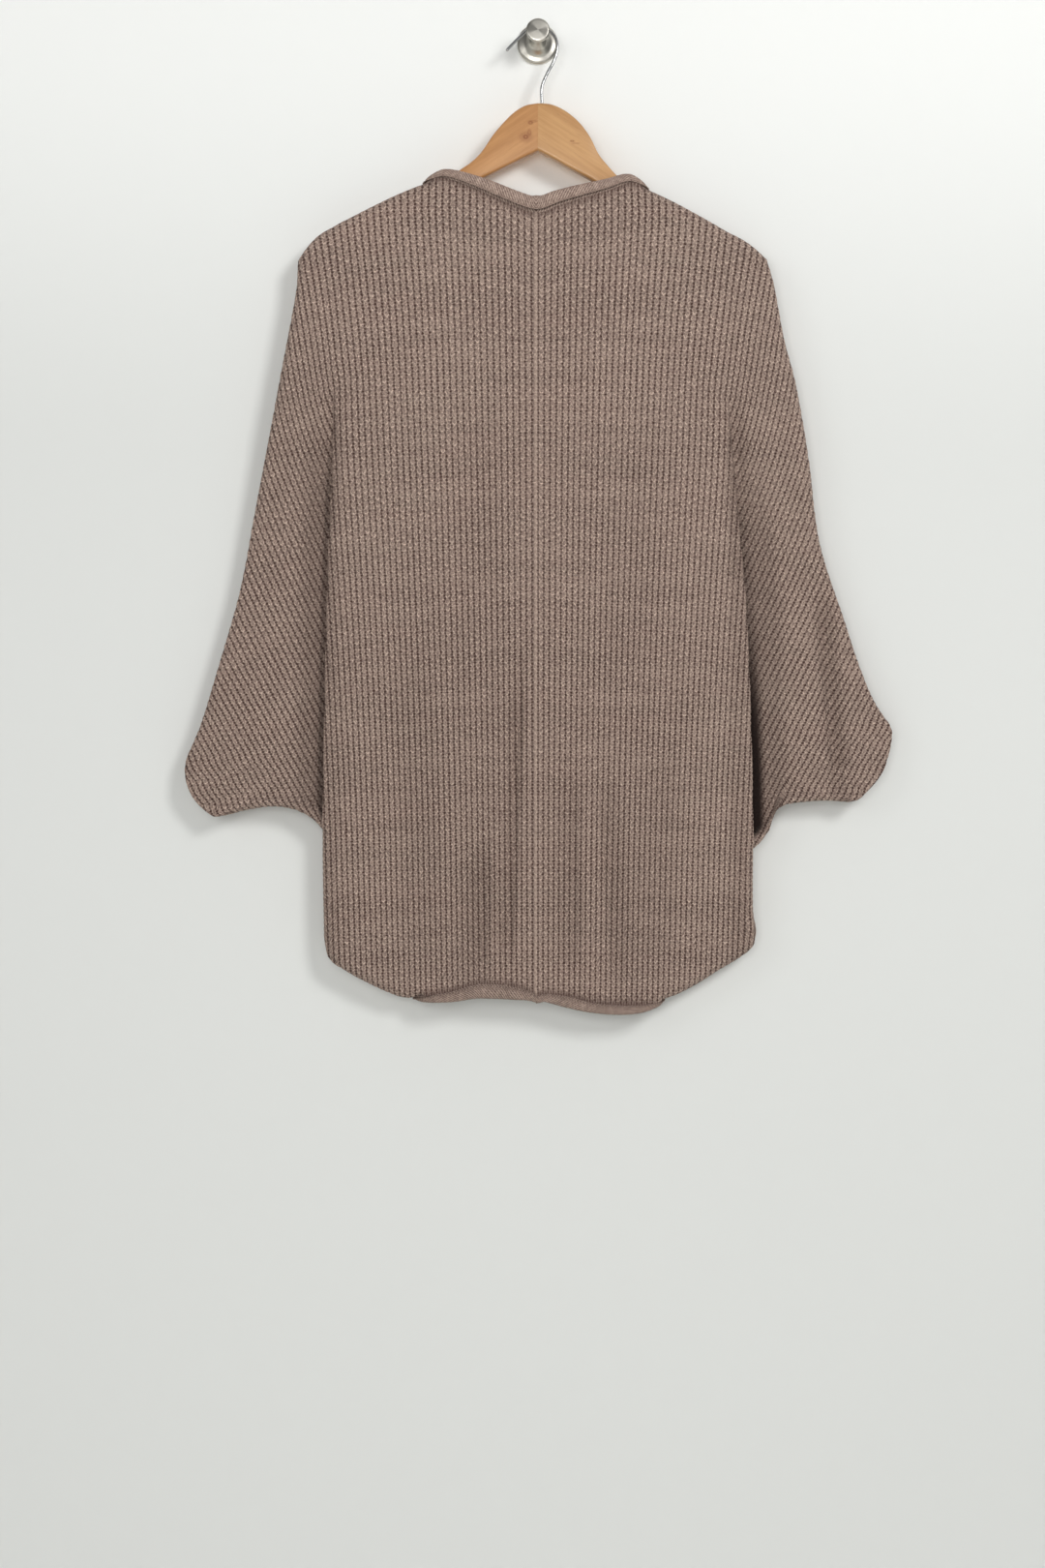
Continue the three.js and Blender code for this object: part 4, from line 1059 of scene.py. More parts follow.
class Nodes:
    """Short way to build a node tree."""

    def __init__(self, name):
        self.material = bpy.data.materials.new(name)
        self.material.use_nodes = True
        self.tree = self.material.node_tree
        self.shader = self.tree.nodes["Principled BSDF"]
        self.output = self.tree.nodes["Material Output"]

    def add(self, kind, **values):
        """New node with its settings."""
        node = self.tree.nodes.new(kind)
        for key, value in values.items():
            setattr(node, key, value)
        return node

    def link(self, source, target):
        self.tree.links.new(source, target)

    def math(self, operation, a, b=None, c=None, clamp=False):
        """Sum on values or sockets."""
        node = self.add("ShaderNodeMath", operation=operation, use_clamp=clamp)
        for index, value in enumerate((a, b, c)):
            if value is None:
                continue
            if isinstance(value, (int, float)):
                node.inputs[index].default_value = value
            else:
                self.link(value, node.inputs[index])
        return node.outputs[0]

    def times(self, a, b, clamp=False):
        return self.math("MULTIPLY", a, b, clamp=clamp)

    def plus(self, a, b):
        return self.math("ADD", a, b)

    def minus(self, a, b):
        return self.math("SUBTRACT", a, b)

    def over(self, a, b):
        return self.math("DIVIDE", a, b)

    def scaled(self, value, factor, offset):
        return self.math("MULTIPLY_ADD", value, factor, offset)

    def split(self, vector):
        """The three parts of a vector."""
        node = self.add("ShaderNodeSeparateXYZ")
        self.link(vector, node.inputs[0])
        return node.outputs

    def place(self):
        """Place on the object, in metres."""
        return self.add("ShaderNodeTexCoord").outputs["Object"]

    def attribute(self, name):
        """Value that the mesh holds at each of its points."""
        return self.add("ShaderNodeAttribute", attribute_name=name).outputs["Fac"]

    def blend(self, share, a, b):
        """Colour a share of the way from a to b."""
        node = self.add("ShaderNodeMix", data_type="RGBA")
        for socket, value in ((node.inputs[0], share), (node.inputs[6], a), (node.inputs[7], b)):
            if isinstance(value, (int, float)):
                socket.default_value = value
            elif isinstance(value, (tuple, list)):
                socket.default_value = (*value[:3], 1.0)
            else:
                self.link(value, socket)
        return node.outputs[2]

    def blend_value(self, share, a, b):
        """Value between two others."""
        return self.plus(a, self.times(share, self.minus(b, a)))

    def noise(self, vector, scale, detail=2.0, roughness=0.6):
        """Noise with a scale of its own along each axis."""
        node = self.add("ShaderNodeTexNoise")
        node.inputs["Scale"].default_value = 1.0
        node.inputs["Detail"].default_value = detail
        node.inputs["Roughness"].default_value = roughness
        self.link(self.stretch(vector, scale), node.inputs["Vector"])
        return node.outputs["Fac"]

    def stretch(self, vector, scale):
        """Vector with each part multiplied."""
        node = self.add("ShaderNodeVectorMath", operation="MULTIPLY")
        self.link(vector, node.inputs[0])
        node.inputs[1].default_value = scale
        return node.outputs[0]

    def step(self, value, low, high):
        """Smooth step that is 0 at low and 1 at high."""
        node = self.add("ShaderNodeMapRange", interpolation_type="SMOOTHSTEP")
        self.link(value, node.inputs["Value"])
        node.inputs["From Min"].default_value = low
        node.inputs["From Max"].default_value = high
        return node.outputs["Result"]

    def bump(self, height, strength, distance):
        """Normal of a rough surface, its height in metres at a value of 1."""
        node = self.add("ShaderNodeBump")
        node.inputs["Strength"].default_value = strength
        node.inputs["Distance"].default_value = distance
        self.link(height, node.inputs["Height"])
        return node.outputs["Normal"]


def toned(colour, share, most=1.0):
    """A colour made darker or lighter, up to a limit."""
    return tuple(min(channel * share, most) for channel in colour)


def yarn_colours(nodes, fabric, colours):
    """Marled yarn: two spun colours that swap in short streaks, and wide patches of each, with painted shade
    towards the lower left.
    """
    light, dark, warm = colours
    place = nodes.place()
    fleck = nodes.noise(fabric, (0.24, 0.4, 1.0), 3.0, 0.65)
    fine = nodes.noise(fabric, (0.8, 1.0, 1.0))
    streak = nodes.noise(fabric, (0.014, 0.13, 1.0), 3.0, 0.6)
    patch = nodes.noise(place, (9.0, 9.0, 20.0), 2.0, 0.5)
    cloud = nodes.noise(place, (5.0, 5.0, 4.0), 2.0, 0.55)
    share = nodes.plus(nodes.times(fleck, 0.5), nodes.times(fine, 0.5))
    share = nodes.plus(share, nodes.times(nodes.minus(streak, 0.5), 0.42))
    soft = toned(light, 0.82)
    spun = nodes.blend(nodes.step(share, 0.36, 0.64), dark, soft)
    pink = nodes.times(nodes.step(patch, 0.48, 0.72), 0.4)
    spun = nodes.blend(pink, spun, warm)
    spun = nodes.blend(nodes.times(nodes.step(cloud, 0.62, 0.4), 0.35), spun, dark)
    split = nodes.split(place)
    rows = nodes.noise(fabric, (0.008, 0.062, 1.0))
    spun = nodes.blend(nodes.times(nodes.step(rows, 0.56, 0.38), 0.2), spun, BLACK)
    spun = nodes.blend(nodes.times(nodes.step(rows, 0.5, 0.68), 0.22), spun, toned(light, 1.25))
    # Painted shade over the lower left of the garment, and a slight darkening everywhere.
    low = nodes.step(split[2], -0.25, -0.42)
    left = nodes.times(nodes.step(split[0], 0.06, -0.1), low)
    return nodes.blend(nodes.scaled(left, 0.12, 0.03), spun, BLACK)


def bell(nodes, value, width):
    """Node value that is 1 where another is 0 and fades to both sides."""
    scaled = nodes.over(value, width)
    return nodes.math("EXPONENT", nodes.times(nodes.times(scaled, scaled), -1.0))


def cloth_finish(nodes, colour, height, distance):
    """Soft woolly surface shared by the knits."""
    nodes.link(colour, nodes.shader.inputs["Base Color"])
    nodes.shader.inputs["Roughness"].default_value = 0.95
    nodes.shader.inputs["Specular IOR Level"].default_value = 0.15
    nodes.shader.inputs["Sheen Weight"].default_value = 0.08
    nodes.shader.inputs["Sheen Roughness"].default_value = 0.6
    nodes.shader.inputs["Sheen Tint"].default_value = (0.95, 0.84, 0.76, 1.0)
    nodes.link(nodes.bump(height, 0.8, distance), nodes.shader.inputs["Normal"])
    return nodes.material


def loose_place(nodes, fabric):
    """Fabric coordinates moved a little here and there, as stitches are never quite even."""
    jitter = nodes.add("ShaderNodeTexNoise")
    jitter.inputs["Scale"].default_value = 0.25
    jitter.inputs["Detail"].default_value = 2.0
    nodes.link(fabric, jitter.inputs["Vector"])
    centred = nodes.add("ShaderNodeVectorMath", operation="SUBTRACT")
    nodes.link(jitter.outputs["Color"], centred.inputs[0])
    centred.inputs[1].default_value = (0.5, 0.5, 0.5)
    moved = nodes.add("ShaderNodeVectorMath", operation="MULTIPLY_ADD")
    nodes.link(centred.outputs[0], moved.inputs[0])
    moved.inputs[1].default_value = (1.9, 2.3, 0.0)
    nodes.link(fabric, moved.inputs[2])
    return nodes.split(moved.outputs[0])


def knit_holes(nodes, fabric, place, openness, size):
    """Columns of holes, two to every stitch; where the knit lies closed every second one is smaller. Also a
    faint painted shade along each column of holes.
    """
    along = nodes.over(place[0], COLUMN)
    rise = nodes.over(place[1], STITCH / 2)
    line = nodes.math("ROUND", along)
    level = nodes.math("ROUND", rise)
    side = nodes.times(nodes.minus(along, line), COLUMN)
    high = nodes.times(nodes.minus(rise, level), STITCH / 2)
    odd = nodes.math("ABSOLUTE", nodes.math("MODULO", nodes.plus(line, level), 2.0))
    patch = nodes.noise(fabric, (0.012, 0.02, 1.0), 1.0, 0.5)
    closed = nodes.times(nodes.step(patch, 0.35, 0.6), 0.45)
    closed = nodes.times(closed, nodes.minus(1.0, openness))
    smaller = nodes.minus(1.0, nodes.times(closed, odd))
    hole = nodes.times(bell(nodes, side, 0.92), bell(nodes, high, 0.78))
    hole = nodes.times(hole, smaller)
    hole = nodes.times(hole, nodes.scaled(nodes.step(size, 0.34, 0.66), 0.95, 0.42))
    hole = nodes.times(hole, nodes.scaled(openness, 0.1, 1.0))
    valley_shade = nodes.times(bell(nodes, side, 1.35), 0.06)
    return hole, valley_shade


def knit_loops(nodes, fabric, place):
    """Loops between the columns of holes, which carry a painted highlight: slim ovals, shifted by half from
    one column to the next.
    """
    along = nodes.over(place[0], COLUMN)
    chain = nodes.math("FLOOR", along)
    within = nodes.times(nodes.minus(nodes.minus(along, chain), 0.5), COLUMN)
    shift = nodes.math("ABSOLUTE", nodes.math("MODULO", chain, 2.0))
    turn = nodes.plus(nodes.over(place[1], STITCH), nodes.times(shift, 0.5))
    lift = nodes.times(nodes.minus(turn, nodes.math("ROUND", turn)), STITCH)
    wide = nodes.math("POWER", nodes.over(nodes.math("ABSOLUTE", within), 2.0), 1.5)
    tall = nodes.math("POWER", nodes.over(nodes.math("ABSOLUTE", lift), 3.05), 1.5)
    ring = nodes.math("POWER", nodes.plus(wide, tall), 1 / 1.5)
    loop = bell(nodes, nodes.minus(ring, 0.86), 0.34)
    # Painted highlight stronger on one half of each loop, and a weaker one filling its middle.
    loop = nodes.times(loop, nodes.scaled(nodes.step(lift, 1.0, -1.0), 0.38, 0.62))
    filled = nodes.minus(1.0, nodes.step(ring, 0.2, 0.95))
    loop = nodes.math("MAXIMUM", loop, nodes.times(filled, 0.38))
    # Random wear that lowers the loops and dims their painted highlight.
    wear_and_highlight = nodes.noise(fabric, (0.4, 0.3, 1.0))
    loop = nodes.times(loop, nodes.scaled(nodes.step(wear_and_highlight, 0.34, 0.66), 1.0, 0.4))
    slit = nodes.times(bell(nodes, within, 0.5), bell(nodes, lift, 1.0))
    return loop, slit


def knit_material(name, colours):
    """Chunky tuck-stitch knit, laid out by the fabric coordinates of each piece."""
    nodes = Nodes(name)
    light, dark, _ = colours
    fabric = nodes.add("ShaderNodeUVMap", uv_map="Fabric").outputs["UV"]
    openness = nodes.attribute("open")
    strip = nodes.attribute("strip")
    gather = nodes.attribute("gather")
    shade = nodes.attribute("shade")
    place = loose_place(nodes, fabric)
    size = nodes.noise(fabric, (0.3, 0.35, 1.0))
    hole, valley_shade = knit_holes(nodes, fabric, place, openness, size)
    loop, slit = knit_loops(nodes, fabric, place)
    hole = nodes.math("MAXIMUM", hole, nodes.times(slit, nodes.times(size, 0.34)))

    # Holes drawn stronger lower down, fine ribs where the cloth is gathered into the band, and fewer holes on
    # the smooth seam down the middle; the holes' painted shade and the bump follow all three.
    rib = nodes.math("COSINE", nodes.times(place[0], 2 * math.pi / (COLUMN / 2)))
    rib = nodes.scaled(rib, 0.2, 0.22)
    lower = nodes.step(nodes.split(nodes.place())[2], -0.45, -0.65)
    hole = nodes.times(hole, nodes.scaled(lower, 0.4, 1.0))
    hole = nodes.blend_value(gather, hole, rib)
    hole = nodes.times(hole, nodes.scaled(strip, -0.6, 1.0))
    loop = nodes.times(loop, nodes.minus(1.0, nodes.times(gather, 0.8)))

    # Yarn with a painted highlight on the loops, darker hairs over it, painted shade along the columns of
    # holes, and the pale seam with a dark line on each side.
    yarn = yarn_colours(nodes, fabric, colours)
    lit = nodes.blend(nodes.times(loop, 0.9, clamp=True), yarn, toned(light, 1.95))
    hair = nodes.noise(fabric, (0.9, 0.75, 1.0), 3.0, 0.75)
    hair = nodes.times(nodes.step(hair, 0.6, 0.38), 0.7)
    lit = nodes.blend(hair, lit, toned(dark, 0.5))
    # Faint painted shade along each column of holes.
    lit = nodes.blend(valley_shade, lit, BLACK)
    lit = nodes.blend(nodes.times(strip, 0.34), lit, toned(light, 1.5))
    beside = bell(nodes, nodes.minus(strip, 0.3), 0.2)
    beside = nodes.times(beside, nodes.step(strip, 0.01, 0.1))
    lit = nodes.blend(nodes.times(beside, 0.4), lit, toned(dark, 0.45))

    # Painted shade in the holes, in the folds and in the slit at the underarm.
    shaded = nodes.blend(nodes.times(nodes.step(hole, 0.1, 0.54), HOLE_SHADE_STRENGTH), lit, HOLE_SHADE_COLOUR)
    shaded = nodes.blend(nodes.times(shade, 0.3), shaded, FOLD_SHADE_COLOUR)
    # The deepest painted shade, in the slit, goes almost black.
    deepest = nodes.times(nodes.step(shade, 1.2, 3.8), 0.85)
    shaded = nodes.blend(deepest, shaded, SLIT_SHADE_COLOUR)
    fibre = nodes.noise(fabric, (2.2, 1.7, 1.0), 2.0, 0.7)
    height = nodes.minus(nodes.times(loop, 0.7), nodes.times(hole, 1.1))
    height = nodes.plus(height, nodes.times(fibre, 0.7))
    return cloth_finish(nodes, shaded, height, 0.0008)


def band_material(name, colours):
    """Plain knit of the band: short slanting strands in rows along its length, with painted highlights on
    their crests and painted shade in the gaps and along the hem.
    """
    nodes = Nodes(name)
    fabric = nodes.add("ShaderNodeUVMap", uv_map="Fabric").outputs["UV"]
    split = nodes.split(fabric)
    row = nodes.over(split[0], BAND_ROW)
    from_row = nodes.times(nodes.minus(row, nodes.math("ROUND", row)), BAND_ROW)
    slant = nodes.scaled(split[0], 0.9, split[1])
    turn = nodes.over(slant, BAND_STRAND)
    across = nodes.times(nodes.minus(turn, nodes.math("ROUND", turn)), BAND_STRAND)
    gap = nodes.times(bell(nodes, across, 0.72), bell(nodes, from_row, 0.8))
    crest_highlight = nodes.step(nodes.math("ABSOLUTE", across), 0.5, 1.3)
    uneven = nodes.noise(fabric, (0.3, 0.3, 1.0))
    gap = nodes.times(gap, nodes.scaled(nodes.step(uneven, 0.35, 0.62), 0.85, 0.3))
    coarse = nodes.noise(fabric, (0.22, 0.3, 1.0))
    coarse = nodes.times(nodes.step(coarse, 0.6, 0.4), 0.42)
    yarn = yarn_colours(nodes, fabric, colours)
    bright = toned(colours[0], 1.9)
    # Painted highlight on the crests of the strands.
    lit = nodes.blend(nodes.scaled(crest_highlight, 0.4, 0.22), yarn, bright)
    lit = nodes.blend(coarse, lit, toned(colours[1], 0.7))
    # Painted shade in the gaps between strands.
    shaded = nodes.blend(nodes.times(gap, 0.85, clamp=True), lit, BAND_GAP_SHADE_COLOUR)
    # Painted shade: the band drawn darker along the hem.
    lower = nodes.split(nodes.place())
    lower = nodes.times(nodes.step(lower[2], -0.82, -0.88), 0.2)
    shaded = nodes.blend(lower, shaded, BLACK)
    fibre = nodes.noise(fabric, (2.2, 1.7, 1.0), 2.0, 0.7)
    height = nodes.minus(nodes.times(fibre, 0.6), nodes.times(gap, 0.5))
    return cloth_finish(nodes, shaded, height, 0.0006)


def wood_material(name, light, dark, slope, knots):
    """Varnished beech: long grain down the arm, fine pores and a few knots."""
    nodes = Nodes(name)
    place = nodes.place()
    turn = nodes.add("ShaderNodeVectorRotate", rotation_type="Y_AXIS")
    nodes.link(place, turn.inputs["Vector"])
    turn.inputs["Angle"].default_value = slope
    along = turn.outputs["Vector"]
    grain = nodes.noise(along, (14.0, 120.0, 210.0), 5.0, 0.62)
    broad = nodes.noise(along, (7.0, 30.0, 42.0), 2.0, 0.5)
    pores = nodes.noise(along, (90.0, 900.0, 1300.0))
    share = nodes.plus(nodes.times(grain, 0.6), nodes.times(broad, 0.4))
    colour = nodes.blend(nodes.step(share, 0.3, 0.7), dark, light)
    flecks = nodes.times(nodes.step(pores, 0.62, 0.8), 0.35)
    colour = nodes.blend(flecks, colour, toned(dark, 0.5))
    split = nodes.split(place)
    for x, z, wide, tall, strength in knots:
        across = nodes.over(nodes.minus(split[0], x * MM), wide * MM)
        upward = nodes.over(nodes.minus(split[2], z * MM), tall * MM)
        square = nodes.plus(nodes.times(across, across), nodes.times(upward, upward))
        ring = bell(nodes, nodes.minus(nodes.math("SQRT", square), 0.8), 0.55)
        spot = nodes.times(nodes.times(ring, strength), nodes.plus(grain, 0.45))
        knot = (dark[0] * 0.5, dark[1] * 0.25, dark[2] * 0.1)
        colour = nodes.blend(nodes.math("MINIMUM", spot, 1.0), colour, knot)
    nodes.link(colour, nodes.shader.inputs["Base Color"])
    nodes.shader.inputs["Roughness"].default_value = 0.38
    nodes.shader.inputs["Coat Weight"].default_value = 0.35
    nodes.shader.inputs["Coat Roughness"].default_value = 0.18
    nodes.link(nodes.bump(pores, 0.25, 0.0002), nodes.shader.inputs["Normal"])
    return nodes.material


def steel_material(name, colour, roughness, brushed):
    """Steel: bright for the wire, or brushed round the axis of the knob with a painted reflection darkening
    two opposite sectors.
    """
    nodes = Nodes(name)
    place = nodes.place()
    nodes.shader.inputs["Metallic"].default_value = 1.0
    if brushed:
        split = nodes.split(place)
        square = nodes.plus(nodes.math("POWER", split[0], 2.0), nodes.math("POWER", split[2], 2.0))
        ring = nodes.add("ShaderNodeCombineXYZ")
        nodes.link(nodes.math("SQRT", square), ring.inputs[0])
        nodes.link(split[1], ring.inputs[1])
        lines = nodes.noise(ring.outputs[0], (2600.0, 2600.0, 1.0))
        rough = nodes.plus(nodes.times(lines, 0.25), roughness - 0.12)
        nodes.link(rough, nodes.shader.inputs["Roughness"])
        nodes.link(nodes.bump(lines, 0.12, 0.0001), nodes.shader.inputs["Normal"])
        smudge = nodes.noise(place, (160.0, 160.0, 160.0), 2.0, 0.5)
        # Painted reflection: two opposite sectors of the knob darker.
        turn = nodes.math("ARCTAN2", split[2], split[0])
        reflection_sectors = nodes.math("COSINE", nodes.scaled(turn, 2.0, 0.5))
        tone = nodes.blend(smudge, toned(colour, 0.8), colour)
        tone = nodes.blend(nodes.step(reflection_sectors, 0.0, 0.9), tone, toned(colour, 0.42))
        nodes.link(tone, nodes.shader.inputs["Base Color"])
    else:
        smudge = nodes.noise(place, (300.0, 300.0, 300.0), 2.0, 0.5)
        tone = nodes.blend(smudge, toned(colour, 0.8), colour)
        nodes.link(tone, nodes.shader.inputs["Base Color"])
        rough = nodes.plus(nodes.times(smudge, 0.12), roughness - 0.06)
        nodes.link(rough, nodes.shader.inputs["Roughness"])
    return nodes.material


def stage_material(name, colour):
    """Matt paint for the wall and the floor, paler higher up with painted light, clear when seen from behind.
    """
    nodes = Nodes(name)
    place = nodes.place()
    cloudy = nodes.noise(place, (1.2, 1.2, 1.2), 2.0, 0.5)
    tone = nodes.blend(cloudy, toned(colour, 0.985), colour)
    # Painted light: the wall paler higher up, as it is lit more brightly there.
    upper = nodes.step(nodes.split(place)[2], -0.42, 0.08)
    tone = nodes.blend(upper, tone, toned(colour, 1.24, 0.98))
    nodes.link(tone, nodes.shader.inputs["Base Color"])
    nodes.shader.inputs["Roughness"].default_value = 0.9
    nodes.shader.inputs["Specular IOR Level"].default_value = 0.2
    clear = nodes.add("ShaderNodeBsdfTransparent")
    choose = nodes.add("ShaderNodeMixShader")
    nodes.link(nodes.add("ShaderNodeNewGeometry").outputs["Backfacing"], choose.inputs[0])
    nodes.link(nodes.shader.outputs[0], choose.inputs[1])
    nodes.link(clear.outputs[0], choose.inputs[2])
    nodes.link(choose.outputs[0], nodes.output.inputs["Surface"])
    return nodes.material


# ---------------------------------------------------------------------------------------------------
# Hanger, hook and knob
# ---------------------------------------------------------------------------------------------------


def make_arm(name, side, stations):
    """One wooden arm: rounded sections close together from the mitre to the tip."""
    outs = [row[0] for row in stations]
    tops = [(row[0], row[1]) for row in stations]
    unders = [(row[0], row[2]) for row in stations]
    near_tip = outs[-1] - np.array([0.4, 1.5, 3])
    places = np.unique(np.concatenate([np.linspace(MITRE_GLUE, outs[-1], 110), near_tip]))
    corner_steps = 6
    rings = []
    for out in places:
        top = float(column(tops, out))
        under = float(column(unders, out))
        end = outs[-1] - out
        narrow = 0.6 + 0.4 * math.sqrt(1 - (1 - min(end / WOOD_TIP, 1)) ** 2)
        ring = []
        radius = min(WOOD_ROUND, (top - under) / 3)
        for turn, (sy, sz) in enumerate(((1, 1), (-1, 1), (-1, -1), (1, -1))):
            centre_y = sy * (WOOD_THICK / 2 - radius)
            centre_z = top - radius if sz > 0 else under + radius
            for k in range(corner_steps + 1):
                angle = math.pi / 2 * (turn + k / corner_steps)
                y = (centre_y + radius * math.cos(angle)) * narrow
                ring.append((MITRE + side * out, WOOD_MIDDLE + y, centre_z + radius * math.sin(angle)))
        rings.append(ring)
    points = np.array(rings)
    count, sides = points.shape[:2]
    cells = tube_cells(count, sides)
    if side > 0:
        cells = cells[:, ::-1]
    faces = cells.tolist()
    start = list(range(count * sides, (count + 1) * sides))
    finish = list(range((count + 1) * sides, (count + 2) * sides))
    faces.append(start[::-1] if side < 0 else start)
    faces.append(finish if side < 0 else finish[::-1])
    corners = np.vstack([points.reshape(-1, 3), points[0], points[-1]])
    return make_mesh(name, corners, faces, flat_faces=2)


def make_wire(name):
    """Bent wire of the hook with a rounded tip."""
    line, lengths = smooth_line(WIRE_ROUTE, 1200)
    places = np.linspace(0, lengths[-1], 150)
    line = resample(line, lengths, places)
    run = unit_length(np.gradient(line, axis=0))
    sides = 20
    angles = np.linspace(0, 2 * math.pi, sides, endpoint=False)
    across = np.stack([-run[:, 1], run[:, 0]], axis=1)
    radius = np.full(len(places), WIRE / 2)
    left = lengths[-1] - places
    tip = left < WIRE / 2
    radius[tip] = np.sqrt(np.maximum((WIRE / 2) ** 2 - (WIRE / 2 - left[tip]) ** 2, 0.05))
    rings = np.empty((len(places), sides, 3))
    rings[..., 0] = line[:, None, 0] + across[:, None, 0] * np.cos(angles)[None, :] * radius[:, None]
    rings[..., 2] = line[:, None, 1] + across[:, None, 1] * np.cos(angles)[None, :] * radius[:, None]
    rings[..., 1] = WOOD_MIDDLE + np.sin(angles)[None, :] * radius[:, None]
    cells = tube_cells(len(places), sides)[:, [0, 3, 2, 1]]
    first = list(range(sides))
    last = [(len(places) - 1) * sides + k for k in first]
    return make_mesh(name, rings.reshape(-1, 3), cells.tolist() + [first, last[::-1]])


def make_knob(name):
    """Turned knob: wall plate, waisted neck and a round front with a low cone."""
    profile = [(0.0, 0.0)] + [(float(r), float(d)) for r, d in KNOB]
    profile += [(10.2, 44.75), (9.2, 44.9), (4.0, KNOB_FACE - 0.05), (0.0, KNOB_FACE)]
    fine = []
    for (r0, d0), (r1, d1) in zip(profile[:-1], profile[1:]):
        steps = 3 if math.hypot(r1 - r0, d1 - d0) > 3 else 1
        for k in range(steps):
            fine.append((mix(r0, r1, k / steps), mix(d0, d1, k / steps)))
    fine.append(profile[-1])
    sides = 96
    angles = np.linspace(0, 2 * math.pi, sides, endpoint=False)
    points = [(0, -fine[0][1], 0)]
    for radius, depth in fine[1:-1]:
        points += [(radius * math.cos(a), -depth, radius * math.sin(a)) for a in angles]
    points.append((0, -fine[-1][1], 0))
    faces = []
    rings = len(fine) - 2
    for i in range(sides):
        j = (i + 1) % sides
        faces.append((0, 1 + i, 1 + j))
        last = 1 + (rings - 1) * sides
        faces.append((last + j, last + i, len(points) - 1))
        for r in range(rings - 1):
            a = 1 + r * sides
            b = a + sides
            faces.append((a + i, b + i, b + j, a + j))
    return make_mesh(name, np.array(points), faces)


# ---------------------------------------------------------------------------------------------------
# Settings
# ---------------------------------------------------------------------------------------------------


class CardiganClothSettings(bpy.types.PropertyGroup):
    """Knit of the panels and the band."""

    stitch_depth: FloatProperty(
        name="Stitch depth", description="How deep the holes between stitches sink",
        default=0.0011, min=0.0, max=0.002, unit="LENGTH")
    band_depth: FloatProperty(
        name="Band stitch depth", description="How deep the strands of the band sink",
        default=0.0007, min=0.0, max=0.001, unit="LENGTH")
    light_yarn: FloatVectorProperty(
        name="Light yarn", description="Lighter of the two spun colours",
        default=(0.415, 0.316, 0.258), min=0.0, max=1.0, size=3, subtype="COLOR")
    dark_yarn: FloatVectorProperty(
        name="Dark yarn", description="Darker of the two spun colours",
        default=(0.228, 0.150, 0.128), min=0.0, max=1.0, size=3, subtype="COLOR")
    warm_yarn: FloatVectorProperty(
        name="Warm yarn", description="Pinkish patches in the yarn",
        default=(0.330, 0.215, 0.178), min=0.0, max=1.0, size=3, subtype="COLOR")


class CardiganHangerSettings(bpy.types.PropertyGroup):
    """Wood and steel."""

    left_wood: FloatVectorProperty(
        name="Left wood", description="Main colour of the left arm",
        default=(0.600, 0.305, 0.118), min=0.0, max=1.0, size=3, subtype="COLOR")
    right_wood: FloatVectorProperty(
        name="Right wood", description="Main colour of the right arm",
        default=(0.630, 0.352, 0.146), min=0.0, max=1.0, size=3, subtype="COLOR")
    wire: FloatVectorProperty(
        name="Wire", description="Colour of the hook",
        default=(0.50, 0.50, 0.50), min=0.0, max=1.0, size=3, subtype="COLOR")
    knob: FloatVectorProperty(
        name="Knob", description="Colour of the knob",
        default=(0.70, 0.67, 0.60), min=0.0, max=1.0, size=3, subtype="COLOR")


class CardiganStageSettings(bpy.types.PropertyGroup):
    """Wall, floor, lights and camera."""

    wall_colour: FloatVectorProperty(
        name="Wall", description="Colour of the wall and the floor",
        default=(0.785, 0.793, 0.768), min=0.0, max=1.0, size=3, subtype="COLOR")
    key_power: FloatProperty(
        name="Main light", description="Power of the soft light on the right",
        default=31.0, min=0.0, unit="POWER")
    lens: FloatProperty(
        name="Lens", description="Focal length of the camera",
        default=53.1, min=20.0, max=200.0, unit="CAMERA")


def declare(piece, node):
    """Puts a piece on the root body and hides the CAD solid that it stands for."""
    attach(piece, "root")
    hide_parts(node)


# ---------------------------------------------------------------------------------------------------
# Operators
# ---------------------------------------------------------------------------------------------------


